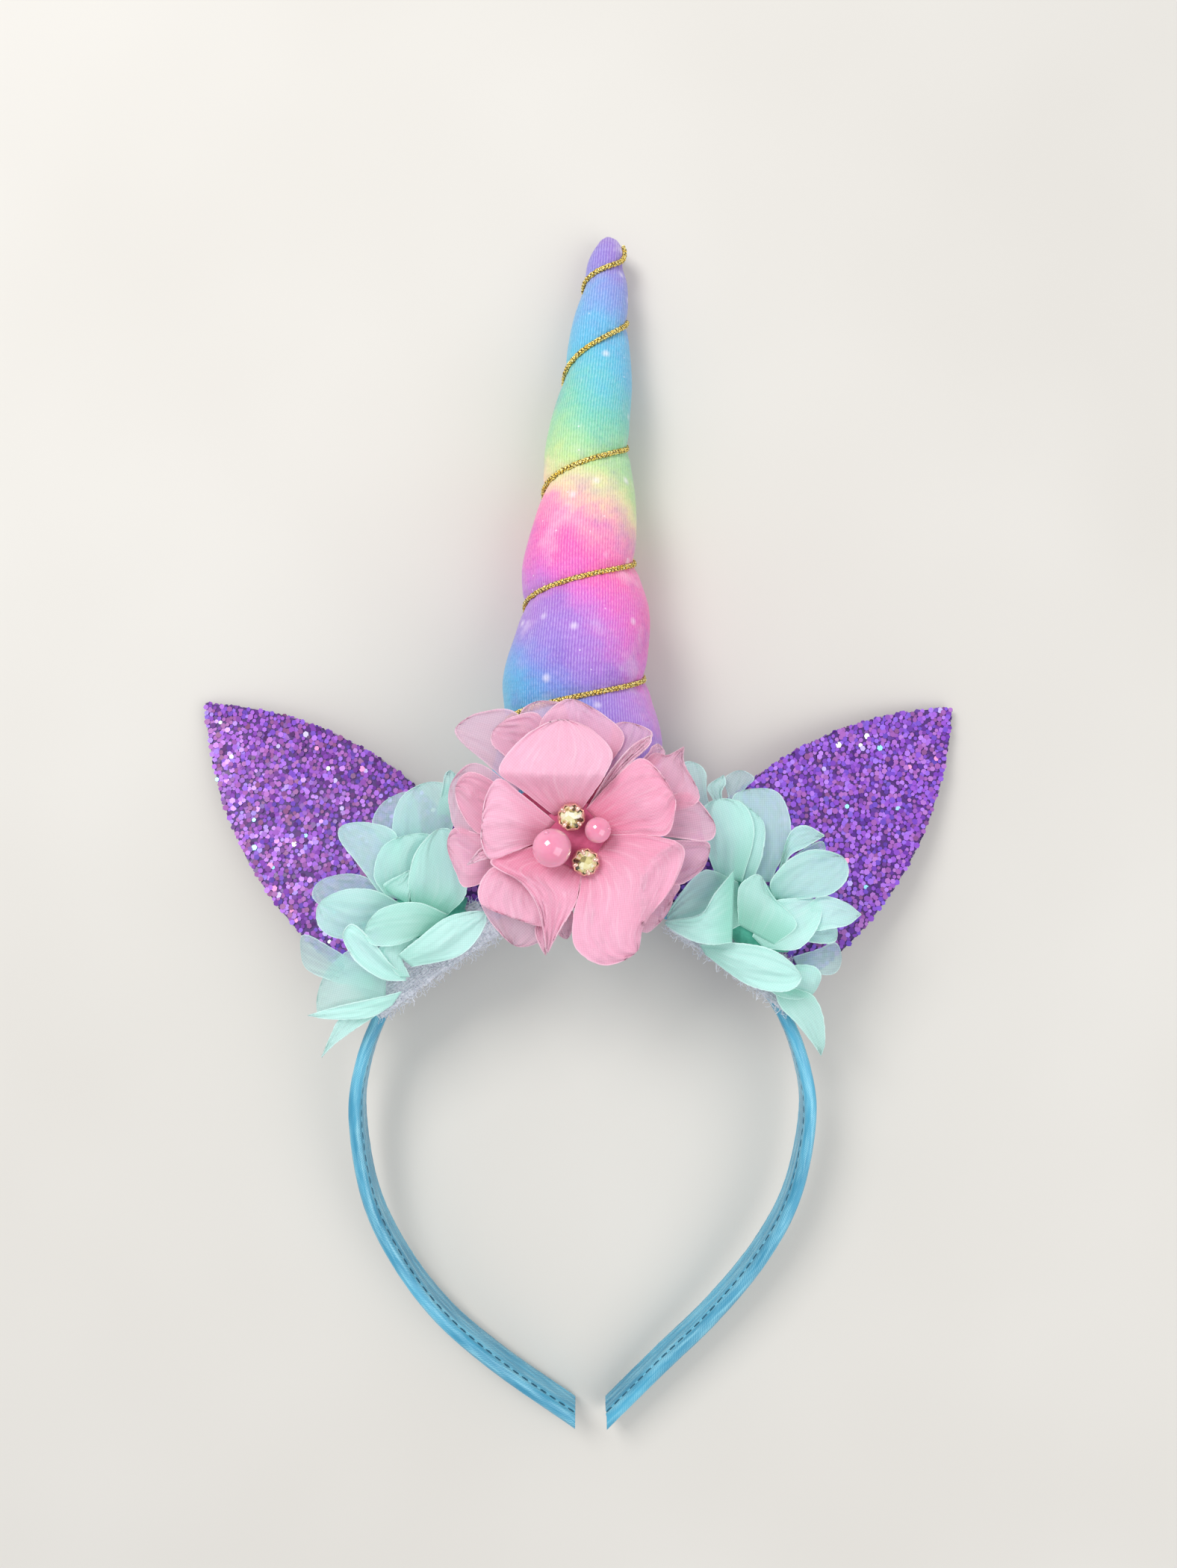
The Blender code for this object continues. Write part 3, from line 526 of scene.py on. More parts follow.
def makeStitches():
    material, graph, shader = newMaterial("thread", {"Roughness": 0.55})
    # The dark thread colour stands for the thread and also for painted shade in its stitch holes.
    mottle(graph, shader, 900.0, "#0f4258", "#23708c")
    graph, given = nodeTool("stitches", {"Length": "NodeSocketFloat", "Gap": "NodeSocketFloat",
                                         "Thread": "NodeSocketFloat"})
    spaced = graph.add("GeometryNodeResampleCurve", {"mode": "LENGTH"},
                       {"Curve": given["Geometry"], "Length": given["Length"] + given["Gap"]})[0]
    capsule = graph.add("GeometryNodeMeshUVSphere", None, {"Segments": 6, "Rings": 5, "Radius": 1.0})[0]
    shape = graph.add("ShaderNodeCombineXYZ", None, {0: given["Thread"], 1: given["Thread"],
                                                     2: given["Length"] * 0.5})[0]
    capsule = graph.add("GeometryNodeTransform", None, {"Geometry": capsule, "Scale": shape})[0]
    along = graph.add("GeometryNodeInputTangent")[0]
    turn = graph.add("FunctionNodeAlignRotationToVector", {"axis": "Z"}, {"Vector": along})[0]
    laid = graph.add("GeometryNodeInstanceOnPoints", None,
                     {"Points": spaced, "Instance": capsule, "Rotation": turn})[0]
    endTool(graph, laid, material)
    source = curveThrough("seamRoute", seamLine(band["seamStep"], band["threadLift"]))
    piece = runTool(graph, source, {"Length": band["stitch"] * mm, "Gap": band["stitchGap"] * mm,
                                    "Thread": band["thread"] * mm}, "seam_stitches")
    bpy.data.objects.remove(source)
    piece.data.shade_smooth()
    finishPiece(piece, None)


makeBand()
makeStitches()
print("band covered and stitched")


# Backing tape

tape = {
    "ends": ((-54.4, -25.8), (-40.6, -15.2), (-24.2, -4.0)), "width": 10.6, "thickness": 1.0, "gap": 0.35,
    "shift": -0.8,  # off the route, towards the head
    "step": 0.6, "columns": 12, "ragged": 0.35, "wave": 0.25,
    "fibres": 3.0, "fibreLength": 2.2, "fibreLean": 0.7, "white": "#ffffff", "shade": "#e2e4f4",
}


def tapeMaterial():
    material, graph, shader = newMaterial("wovenTape", {"Roughness": 0.9})
    along, across = uv(graph)[1:]
    threads = graph.sum("SINE", across * 9.0) * 0.5 + graph.sum("SINE", along * 7.0) * 0.3
    fuzz = graph.noise(place(graph), 1500.0, 4.0, 0.7)
    share = graph.clamp(threads * 0.25 + fuzz * 0.9)
    graph.put(graph.mix(share, colour(tape["shade"]), colour(tape["white"])), shader.inputs["Base Color"])
    graph.put(graph.bump(threads + fuzz, 0.6, 0.0004), shader.inputs["Normal"])
    return material


def makeTape(name, side, material):
    route = smoothRoute([(-side * x, y, 0) for x, y in tape["ends"]], tape["step"])
    low = band["width"] / 2 + tape["gap"]
    columns = tape["columns"]
    points, uvs = [], []
    for i, here in enumerate(route):
        out = outwardOn(route, i)[0]
        for top in (1, 0):
            for k in range(columns + 1):
                share = (k if top else columns - k) / columns
                ragged = 0.0
                if share in (0, 1):
                    ragged = tape["ragged"] * noise.noise((i * 0.45, share * 3, side))
                point = here + out * ((share - 0.5) * tape["width"] + tape["shift"] + ragged)
                wave = tape["wave"] * noise.noise((i * 0.08, share * 2, 7 * side))
                level = low + (tape["thickness"] if top else 0.1) + wave * (1 if top else 0)
                points.append(onBand(point.x, point.y, level))
                uvs.append((i * tape["step"], share * tape["width"]))
    sides = 2 * (columns + 1)
    piece = meshPiece(name, points, tubeFaces(len(route), sides), uvs)
    outwards(piece)
    finishPiece(piece, material, [name.replace("cloth_", "")])
    return piece


def makeFuzz(name, source, material, seed):
    graph, given = nodeTool("fuzz" + name, {"Density": "NodeSocketFloat", "Length": "NodeSocketFloat",
                                            "Seed": "NodeSocketInt"})
    spots = graph.add("GeometryNodeDistributePointsOnFaces", {"distribute_method": "RANDOM"},
                      {"Mesh": given["Geometry"], "Density": given["Density"], "Seed": given["Seed"]})
    hair = graph.add("GeometryNodeCurvePrimitiveBezierSegment", None, {
        "Resolution": 5, "Start": (0, 0, 0), "Start Handle": (0, 0, 0.5), "End Handle": (0.5, 0.1, 0.8),
        "End": (0.9, 0.3, 0.7)})[0]
    profile = graph.add("GeometryNodeCurvePrimitiveCircle", None, {"Resolution": 3, "Radius": 0.04})[0]
    hair = graph.add("GeometryNodeCurveToMesh", None, {0: hair, 1: profile})[0]
    lean = graph.randomTurn(given["Seed"], tape["fibreLean"])
    turn = graph.add("FunctionNodeRotateRotation", {"rotation_space": "LOCAL"},
                     {0: spots["Rotation"], 1: lean})[0]
    size = graph.randomNumber(0.4, 1.0)
    laid = graph.add("GeometryNodeInstanceOnPoints", None, {
        "Points": spots["Points"], "Instance": hair, "Rotation": turn, "Scale": size * given["Length"]})[0]
    endTool(graph, laid, material)
    values = {"Density": tape["fibres"] / mm**2, "Length": tape["fibreLength"] * mm, "Seed": seed}
    piece = runTool(graph, source, values, name)
    finishPiece(piece, None)


tapeCloth = tapeMaterial()
for side, sideName in ((-1, "left"), (1, "right")):
    strip = makeTape("cloth_tape_" + sideName, side, tapeCloth)
    makeFuzz("tape_fuzz_" + sideName, strip, tapeCloth, 11 + side)
print("tape woven")


# Horn

horn = {
    "rings": (  # y, x, radius
        (2.3, -1.0, 18.4), (6, -1.0, 20.2), (20, -1.0, 21.4), (38, -1.0, 20.7), (49, -1.3, 19.0),
        (60, -0.9, 18.0), (72, 0.0, 16.6), (85, 0.0, 14.8), (98, 0.7, 13.1), (109, 1.2, 11.7),
        (122, 2.0, 10.4), (134, 3.4, 9.3), (146, 4.5, 7.9), (156, 5.4, 6.6), (164, 6.1, 5.3),
        (170, 6.6, 4.2), (173.4, 6.8, 2.6), (174.7, 6.8, 0.8)),
    "axis": 22.3, "fall": 0.116, "thickEnd": 25.0, "rows": 300, "sides": 112, "puff": 0.045,
    "groove": 1.15, "grooveWidth": 2.6,
    "wrinkle": 0.2, "wrinkles": 19, "wrinkleReach": 4.5,  # fine gathers beside the cord
    "dents": 0.35,  # slow unevenness of the stuffing
    "ribs": 8.4, "loops": 6.0,  # the knit's lines, in radians for each millimetre
    "cordEdges": (172.5, 166.9, 160.5, 150.6, 135.2, 116.1, 104.2, 85.3, 73.7, 55.1, 43.5, 26.0),
    "slant": 0.55,  # the print's bands fall this much from left to right
    "lowSlant": (0.9, 82, 50),  # and this much more near its thick end
    "specks": ((0.15, 0.24, 0.6, 0.45), (0.34, 0.12, 0.8, 0.58)),  # cells per mm, size, strength, left out
    "print": (  # height along the horn, colour
        (174, "#9676c8"), (166, "#8b80d0"), (159, "#7a98d8"), (151, "#60b0da"), (141, "#54b6d8"),
        (133, "#5fc0ca"), (126, "#70c8ae"), (118, "#95d399"), (110, "#bddc8e"), (104, "#eadca0"),
        (99, "#f8c4a6"), (93, "#f98fb2"), (85, "#f05fae"), (76, "#dc66c4"), (66, "#b074ce"),
        (53, "#9478d0"), (42, "#6f8cd8"), (31, "#4ea8da"), (16, "#3fb2d2")),
}


def hornAxis(y):
    return Vector((tableValue(horn["rings"], 1, y), y,
                   horn["axis"] - horn["fall"] * max(y - horn["thickEnd"], 0)))


def halfTurnsAt(y):
    edges = horn["cordEdges"]
    for i in range(len(edges) - 1):
        if y >= edges[i + 1]:
            return i + (edges[i] - y) / (edges[i] - edges[i + 1])
    return len(edges) - 1 + (edges[-1] - y) / (edges[-2] - edges[-1])


def cordHeight(halfTurn):
    edges = horn["cordEdges"]
    low = min(int(halfTurn), len(edges) - 2)
    return edges[low] + (edges[low + 1] - edges[low]) * (halfTurn - low)


def fromCord(y, angle):  # signed distance along the horn to the nearest pass of the cord
    turns = (halfTurnsAt(y) - 1) / 2 - angle / (2 * math.pi)
    nearest = turns - round(turns)
    pitch = cordHeight(max(2 * turns, 0)) - cordHeight(max(2 * turns, 0) + 2)
    return nearest, nearest * max(pitch, 12)


def hornRadius(y, angle):
    radius = tableValue(horn["rings"], 2, y)
    share, away = fromCord(y, angle)
    small = min(radius / 14, 1)
    plump = radius * (1 - horn["puff"] * math.cos(2 * math.pi * share))
    dent = horn["groove"] * small * math.exp(-((away / horn["grooveWidth"]) ** 2))
    return plump - dent, away, small


def makeHorn():
    rows, sides = horn["rows"], horn["sides"]
    bottom, top = horn["rings"][0][0], horn["rings"][-1][0]
    points, uvs = [], []
    for row in range(rows + 1):
        share = row / rows
        y = bottom + (top - bottom) * (1 - (1 - share) ** 1.15)
        centre = hornAxis(y)
        for side in range(sides):
            angle = 2 * math.pi * side / sides
            radius, away, small = hornRadius(y, angle)
            crease = math.sin(angle * horn["wrinkles"] + 5 * noise.noise((y * 0.06, 3 * math.cos(angle), 2)))
            crease *= horn["wrinkle"] * small * math.exp(-abs(away) / horn["wrinkleReach"])
            around = Vector((math.cos(angle), 0, math.sin(angle)))
            slow = horn["dents"] * small * noise.noise((around.x * 1.6, around.z * 1.6, y * 0.075))
            points.append(centre + around * (radius + crease + slow))
            turned = (angle - math.pi / 2 + math.pi) % (2 * math.pi) - math.pi  # 0 at the front
            uvs.append((-turned * radius, y))
    piece = meshPiece("stuffed_horn", points, tubeFaces(rows + 1, sides), uvs)
    outwards(piece)
    finishPiece(piece, hornMaterial(), ["horn"])


def hornMaterial():
    material, graph, shader = newMaterial("printedKnit", {
        "Roughness": 0.78, "Specular IOR Level": 0.3, "Sheen Weight": 0.35, "Sheen Roughness": 0.5})
    here = place(graph)
    local = graph.vector("SCALE", graph.vector("SUBTRACT", here, zero[:]), scale=1 / mm)
    split = graph.add("ShaderNodeSeparateXYZ", None, {0: local})
    x, y = split[0], split[1]
    cloud = graph.noise(local, 0.055, 5.0, 0.62) - 0.5
    wisps = graph.noise(graph.stretch(local, (1, 1, 1), (40, 7, 3)), 0.16, 5.0, 0.65) - 0.5
    steeper, above, below = horn["lowSlant"]
    slant = graph.span(y, below, above, steeper, 0.0) + horn["slant"]
    height = y + x * slant + cloud * 24.0 + wisps * 9.0
    low, high = horn["print"][-1][0], horn["print"][0][0]
    stops = [((level - low) / (high - low), colour(tone)) for level, tone in reversed(horn["print"])]
    base = graph.ramp((height - low) / (high - low), stops)
    glow = graph.noise(graph.stretch(local, (1, 1, 1), (9, 3, 21)), 0.09, 3.0, 0.5)
    base = graph.mix(graph.span(glow, 0.56, 0.78) * 0.25, base, colour("#fbeef6"))
    deep = graph.noise(graph.stretch(local, (1, 1, 1), (3, 33, 1)), 0.07, 4.0, 0.6)
    base = graph.mix(graph.span(deep, 0.5, 0.8) * 0.42, base, colour("#7446b4"))
    for scale, size, strength, keep in horn["specks"]:
        distance, chance = graph.cells(local, scale)
        spot = graph.span(distance, 0.0, size, 1.0, 0.0) * graph.span(chance, keep, keep + 0.05)
        base = graph.mix(graph.clamp(spot) * strength, base, colour("#fdf4fb"))
    wire, across, along = uv(graph)
    wave = graph.sum("SINE", across * horn["ribs"])
    ribs = wave * 0.5 + 0.5
    loops = graph.sum("SINE", along * horn["loops"] + wave * 0.8) * 0.5 + 0.5
    fleck = graph.noise(graph.stretch(wire, (3.2, 0.9, 1)), 1.0, 3.0, 0.7)
    knit = ribs * 0.3 + fleck * 0.9
    base = graph.mix(graph.span(knit, 0.5, 0.95) * 0.22, base, colour("#fbf8ff"))
    base = graph.mix(graph.span(knit, 0.65, 0.25) * 0.34, base, colour("#54448a"))
    graph.put(base, shader.inputs["Base Color"])
    crush = graph.noise(graph.stretch(wire, (0.25, 0.6, 1)), 1.0, 4.0, 0.55)
    normal = graph.bump(ribs * 0.6 + loops * 0.4, 0.2, 0.0002)
    normal = graph.bump(fleck, 0.25, 0.0004, normal)
    graph.put(graph.bump(crush, 0.35, 0.0012, normal), shader.inputs["Normal"])
    return material


makeHorn()
print("horn stuffed")


# Gold cord

cord = {"diameter": 1.4, "start": 0.1, "end": 10.9, "steps": 36, "lift": 0.42, "startBend": 1.2,
        "strands": 4, "strand": 0.2, "pitch": 3.4, "step": 0.2,
        "spread": 0.66, "weave": 0.12,  # a strand's distance and its swing, as shares of the radius
        # light is a painted glint colour; deep is a painted shade colour for strands that pass under others
        "gold": "#e8bb2c", "light": "#fff6a8", "deep": "#3c2a04"}


def cordLine():
    count = round((cord["end"] - cord["start"]) * cord["steps"])
    line = []
    for i in range(count + 1):
        halfTurn = cord["start"] + (cord["end"] - cord["start"]) * i / count
        y = cordHeight(halfTurn)
        turned = math.pi * (halfTurn - 1)  # the start runs straight down the right edge
        angle = (turned + math.hypot(turned, cord["startBend"])) / 2
        radius = hornRadius(y, angle)[0] + cord["lift"]
        line.append(hornAxis(y) + Vector((math.cos(angle), 0, math.sin(angle))) * radius)
    return line


def goldMaterial():
    material, graph, shader = newMaterial("goldBraid", {"Metallic": 0.4})
    here = place(graph)
    glint = graph.noise(here, 2600.0, 2.0, 0.6)
    over = attribute(graph, "over")
    # painted glint: the glint noise lightens the gold towards the light colour
    base = graph.mix(graph.span(glint, 0.4, 0.62), colour(cord["gold"]), colour(cord["light"]))
    # painted shade: a strand darkens towards deep where it passes under the others
    base = graph.mix(graph.span(over, 0.0, -0.6) * 0.9, base, colour(cord["deep"]))
    graph.put(base, shader.inputs["Base Color"])
    graph.put(graph.span(glint, 0.3, 0.7, 0.35, 0.15), shader.inputs["Roughness"])
    return material


def makeCord(material):
    source = curveThrough("cordRoute", cordLine())
    graph, given = nodeTool("braid", {"Radius": "NodeSocketFloat", "Strand": "NodeSocketFloat",
                                      "Pitch": "NodeSocketFloat", "Step": "NodeSocketFloat"})
    line = graph.add("GeometryNodeResampleCurve", {"mode": "LENGTH"},
                     {"Curve": given["Geometry"], "Length": given["Step"]})[0]
    profile = graph.add("GeometryNodeCurvePrimitiveCircle", None,
                        {"Resolution": 5, "Radius": given["Strand"]})[0]
    joined = graph.add("GeometryNodeJoinGeometry")
    along = graph.add("GeometryNodeSplineParameter")["Length"]
    normal = graph.add("GeometryNodeInputNormal")[0]
    tangent = graph.add("GeometryNodeInputTangent")[0]
    side = graph.vector("CROSS_PRODUCT", tangent, normal)
    phase = along / given["Pitch"] * (2 * math.pi)
    for way in (1, -1):
        for k in range(cord["strands"]):
            turn = phase * way + 2 * math.pi * k / cord["strands"]
            # a strand goes over and under the others twice in each turn
            over = graph.sum("SINE", phase * cord["strands"] + math.pi * k + (0 if way > 0 else math.pi))
            reach = given["Radius"] * (cord["spread"] + over * cord["weave"])
            a = graph.vector("SCALE", normal, scale=graph.sum("COSINE", turn) * reach)
            b = graph.vector("SCALE", side, scale=graph.sum("SINE", turn) * reach)
            offset = graph.vector("ADD", a, b)
            moved = graph.add("GeometryNodeSetPosition", None, {"Geometry": line, "Offset": offset})[0]
            marked = graph.add("GeometryNodeStoreNamedAttribute", {"data_type": "FLOAT", "domain": "POINT"},
                               {"Geometry": moved, "Name": "over", "Value": over})[0]
            strand = graph.add("GeometryNodeCurveToMesh", None,
                               {0: marked, 1: profile, "Fill Caps": True})[0]
            graph.tree.links.new(strand.socket, joined.node.inputs[0])
    endTool(graph, joined[0], material)
    values = {"Radius": cord["diameter"] / 2 * mm, "Strand": cord["strand"] * mm,
              "Pitch": cord["pitch"] * mm, "Step": cord["step"] * mm}
    piece = runTool(graph, source, values, "braided_cord")
    bpy.data.objects.remove(source)
    piece.data.shade_smooth()
    finishPiece(piece, None, ["gold_cord"])


makeCord(goldMaterial())
print("cord braided")


# Ears

ear = {
    "halfChord": 64.0, "halfWidth": 24.2, "toBand": 0.8, "thickness": 1.5, "tip": 1.3, "base": 17.0,
    "rise": 1.15, "dish": 1.6, "tipHalf": 0.25, "rows": 90, "columns": 40,
    "flakes": 3.0, "flakeGap": 0.93, "flake": 0.75, "flakeSizes": (0.7, 1.2), "tilt": 0.11,
    "left": (-102.0, 49.8, math.radians(-43.6)), "right": (99.9, 48.6, math.radians(223.2)),
    "leftTones": ("#431258", "#73309a", "#9147ba", "#ae69da"),
    "rightTones": ("#4a1c7c", "#7a3ab6", "#9a54d0", "#b67ce8"),
}


def earSurface(tipX, tipY, heading):
    radius = (ear["halfChord"] ** 2 + ear["halfWidth"] ** 2) / (2 * ear["halfWidth"])
    along = Vector((math.cos(heading), math.sin(heading), 0))
    across = Vector((-along.y, along.x, 0))
    tip = Vector((tipX, tipY, 0))
    archMiddle = Vector((0, -band["arch"], 0))
    archSide = band["arch"] + band["thickness"] / 2 + ear["toBand"]

    def halfAt(run):
        half = math.sqrt(radius**2 - (run - ear["halfChord"]) ** 2) - (radius - ear["halfWidth"])
        return max(half, ear["tipHalf"])

    def lengthAt(s):
        run = 4 / 3 * ear["halfChord"]  # a first guess
        for _ in range(4):
            start = tip + across * halfAt(run) * s - archMiddle
            ahead = -start.dot(along)
            run = ahead - math.sqrt(ahead**2 - start.length_squared + archSide**2)
        return run

    def surface(t, s):
        run = lengthAt(s) * t
        height = ear["tip"] + (ear["base"] - ear["tip"]) * t ** ear["rise"]
        height += ear["dish"] * s * s * math.sin(math.pi * min(t, 1))
        return tip + along * run + across * halfAt(run) * s + up * height

    return surface


def wallOf(surface, ts, ss, thickness):  # a closed thin wall round surface(t, s)
    upper, lower = [], []
    step = 0.004  # share of the surface over which its slope is measured
    for t in ts:
        near = min(max(t, step), 1 - 2.5 * step)
        for s in ss:
            run = surface(near + step, s) - surface(near - step, s)
            over = surface(near, min(s + step, 1)) - surface(near, max(s - step, -1))
            normal = run.cross(over).normalized()
            normal = normal if normal.z > 0 else -normal
            middle = surface(t, s)
            upper.append(middle + normal * thickness / 2)
            lower.append(middle - normal * thickness / 2)
    wide, count = len(ss), len(upper)
    faces = []
    for row in range(len(ts) - 1):
        for k in range(wide - 1):
            a = row * wide + k
            quad = (a, a + 1, a + 1 + wide, a + wide)
            faces.append(quad)
            faces.append(tuple(i + count for i in reversed(quad)))
    edge = [row * wide for row in range(len(ts))]
    edge += [(len(ts) - 1) * wide + k for k in range(1, wide)]
    edge += [row * wide + wide - 1 for row in range(len(ts) - 2, -1, -1)]
    edge += list(range(wide - 2, 0, -1))
    for i, here in enumerate(edge):
        after = edge[(i + 1) % len(edge)]
        faces.append((here, after, after + count, here + count))
    return upper + lower, faces


def sheetMaterial():
    sheet, graph, shader = newMaterial("glitterBase", {"Roughness": 0.5})
    # The sheet is darkened so the gaps between flakes read dark: painted shade between the flakes.
    mottle(graph, shader, 2200.0, "#2c0f4a", "#5c2488", 3.0)
    return sheet


def flakeMaterial(name, tones):
    flake, graph, shader = newMaterial(name, {
        "Metallic": 0.12, "Specular IOR Level": 0.4, "Coat Weight": 0.12, "Coat Roughness": 0.1})
    tone = attribute(graph, "flakeTone")
    spark = attribute(graph, "flakeSpark")
    base = graph.ramp(tone, [(at, colour(c)) for at, c in zip((0.0, 0.3, 0.68, 0.95), tones)])
    # painted sparkle: the few flakes with the highest tone turn white, cyan, pink or lilac, standing for
    # flakes that catch the light
    paintedSparkle = graph.ramp(spark, [(0.0, colour("#ffffff")), (0.3, colour("#9fe8ff")), (0.55, colour("#ff9fd8")),
                             (0.8, colour("#c8b4ff"))], "CONSTANT")
    base = graph.mix(graph.span(spark, 0.6, 0.9) * 0.45, base, colour("#b26a94"))
    base = graph.mix(graph.span(spark, 0.35, 0.1) * 0.4, base, colour("#7a62e6"))
    graph.put(graph.mix(graph.span(tone, 0.986, 0.988), base, paintedSparkle), shader.inputs["Base Color"])
    graph.put(graph.span(spark, 0.0, 1.0, 0.2, 0.5), shader.inputs["Roughness"])
    return flake


def makeEar(name, tipX, tipY, heading, sheetCoat, flakeCoat, seed):
    surface = earSurface(tipX, tipY, heading)
    ts = [i / ear["rows"] for i in range(ear["rows"] + 1)]
    ss = [2 * i / ear["columns"] - 1 for i in range(ear["columns"] + 1)]
    points, faces = wallOf(surface, ts, ss, ear["thickness"])
    sheet = meshPiece("sheet_" + name, points, faces)
    outwards(sheet)
    sheet.data.set_sharp_from_angle(angle=math.radians(60))
    graph, given = nodeTool("flakes" + name, {"Density": "NodeSocketFloat", "Gap": "NodeSocketFloat",
                                              "Size": "NodeSocketFloat", "Tilt": "NodeSocketFloat",
                                              "Seed": "NodeSocketInt"})
    spots = graph.add("GeometryNodeDistributePointsOnFaces", {"distribute_method": "POISSON"}, {
        "Mesh": given["Geometry"], "Distance Min": given["Gap"], "Density Max": given["Density"],
        "Seed": given["Seed"]})
    disc = graph.add("GeometryNodeMeshCircle", {"fill_type": "NGON"}, {"Vertices": 6, "Radius": 1.0})[0]
    limits = graph.add("ShaderNodeCombineXYZ", None, {0: given["Tilt"], 1: given["Tilt"], 2: 1.0})[0]
    lean = graph.randomTurn(given["Seed"], 1, limits)
    turn = graph.add("FunctionNodeRotateRotation", {"rotation_space": "LOCAL"},
                     {0: spots["Rotation"], 1: lean})[0]
    size = graph.randomNumber(*ear["flakeSizes"], 5)
    lift = graph.vector("SCALE", spots["Normal"], scale=graph.randomNumber(0.00002, 0.0003, 9))
    raised = graph.add("GeometryNodeSetPosition", None, {"Geometry": spots["Points"], "Offset": lift})[0]
    laid = graph.add("GeometryNodeInstanceOnPoints", None, {
        "Points": raised, "Instance": disc, "Rotation": turn, "Scale": size * given["Size"]})[0]
    for key, offset in (("flakeTone", 1), ("flakeSpark", 2)):
        value = graph.randomNumber(0.0, 1.0, offset)
        laid = graph.add("GeometryNodeStoreNamedAttribute", {"data_type": "FLOAT", "domain": "INSTANCE"},
                         {"Geometry": laid, "Name": key, "Value": value})[0]
    endTool(graph, laid, flakeCoat)
    values = {"Density": ear["flakes"] / mm**2, "Gap": ear["flakeGap"] * mm, "Size": ear["flake"] * mm,
              "Tilt": ear["tilt"], "Seed": seed}
    flakes = runTool(graph, sheet, values, "flakes_" + name)
    finishPiece(sheet, sheetCoat, [name])
    finishPiece(flakes, None)


earSheet = sheetMaterial()
makeEar("ear_left", *ear["left"], earSheet, flakeMaterial("magentaFlakes", ear["leftTones"]), 3)
makeEar("ear_right", *ear["right"], earSheet, flakeMaterial("violetFlakes", ear["rightTones"]), 4)
print("ears glittered")


# Petals. An outline is seen from the camera, on the bunch's own plane: it runs from one corner of the root
# round the tip, which is its middle point, to the root's other corner.
# name, sheer (0 dense, 1 clear), pointed, height of root and tip, arch, lift of each side, outline

flowerInner = (
    ("left_back", 0.25, 0, 46.6, 48, 0.3, 0, 0, ((-15, 9), (-20.5, 9), (-23.5, 5), (-23, 0.5),
        (-16, -2.5), (-9, -4.5), (-9.5, -1), (-10.5, 2.5), (-8.5, 6.5))),
    ("left_spike", 0.1, 1, 47, 49.6, 0.2, 0, 0, ((-19, 13.5), (-23, 13.5), (-26.5, 9.5), (-22, 11),
        (-18, 11.5))),
    ("top_strip", 0.35, 1, 47, 49.5, 0.8, 0.6, 0, ((1.5, 23), (6, 30.5), (11.5, 37), (16, 39.5),
        (15.5, 37), (10, 32), (1.5, 23))),
    ("right_upper", 0.08, 0, 47, 51.2, 1.2, -0.6, -0.8, ((1, 22.5), (7, 29), (13, 34), (17, 32),
        (21, 26), (21.5, 22), (19.5, 16.5), (13, 16.5), (6.5, 16.5))),
    ("left", 0, 0, 47, 51.4, 1.6, -0.3, -0.9, ((-6, 19.5), (-14, 26), (-19, 29.5), (-22, 25.5),
        (-23, 19), (-23, 14.5), (-21, 11), (-16, 12.5), (-11, 14.5))),
    ("left_lower", 0.03, 1, 47, 48.4, 1.2, 1.6, -0.4, ((-11, 14), (-21, 10.5), (-14, 5.5), (-10, -0.5),
        (-8, -11), (-4.5, -4.5), (-1.5, 0.5), (-0.5, 4.5), (0, 7.5))),
    ("right_lower", 0.03, 0, 47, 48.6, 1.8, -0.6, -0.2, ((0, 7.5), (-0.5, 3.5), (-2, -2.5),
        (-1.5, -9.5), (5, -13.5), (12.5, -10.5), (14.5, -4), (21, 5), (23.5, 13.5), (15.5, 16.5),
        (6.5, 16.5))),
    ("top", 0.05, 0, 47, 49.6, 0, 0, 0, ((-6.5, 21), (-14, 27), (-19, 31), (-16, 36.5), (-10.5, 41),
        (-4.5, 43), (2, 41), (7, 35.5), (5.5, 30.5), (2.5, 26), (0, 22.5))),
)
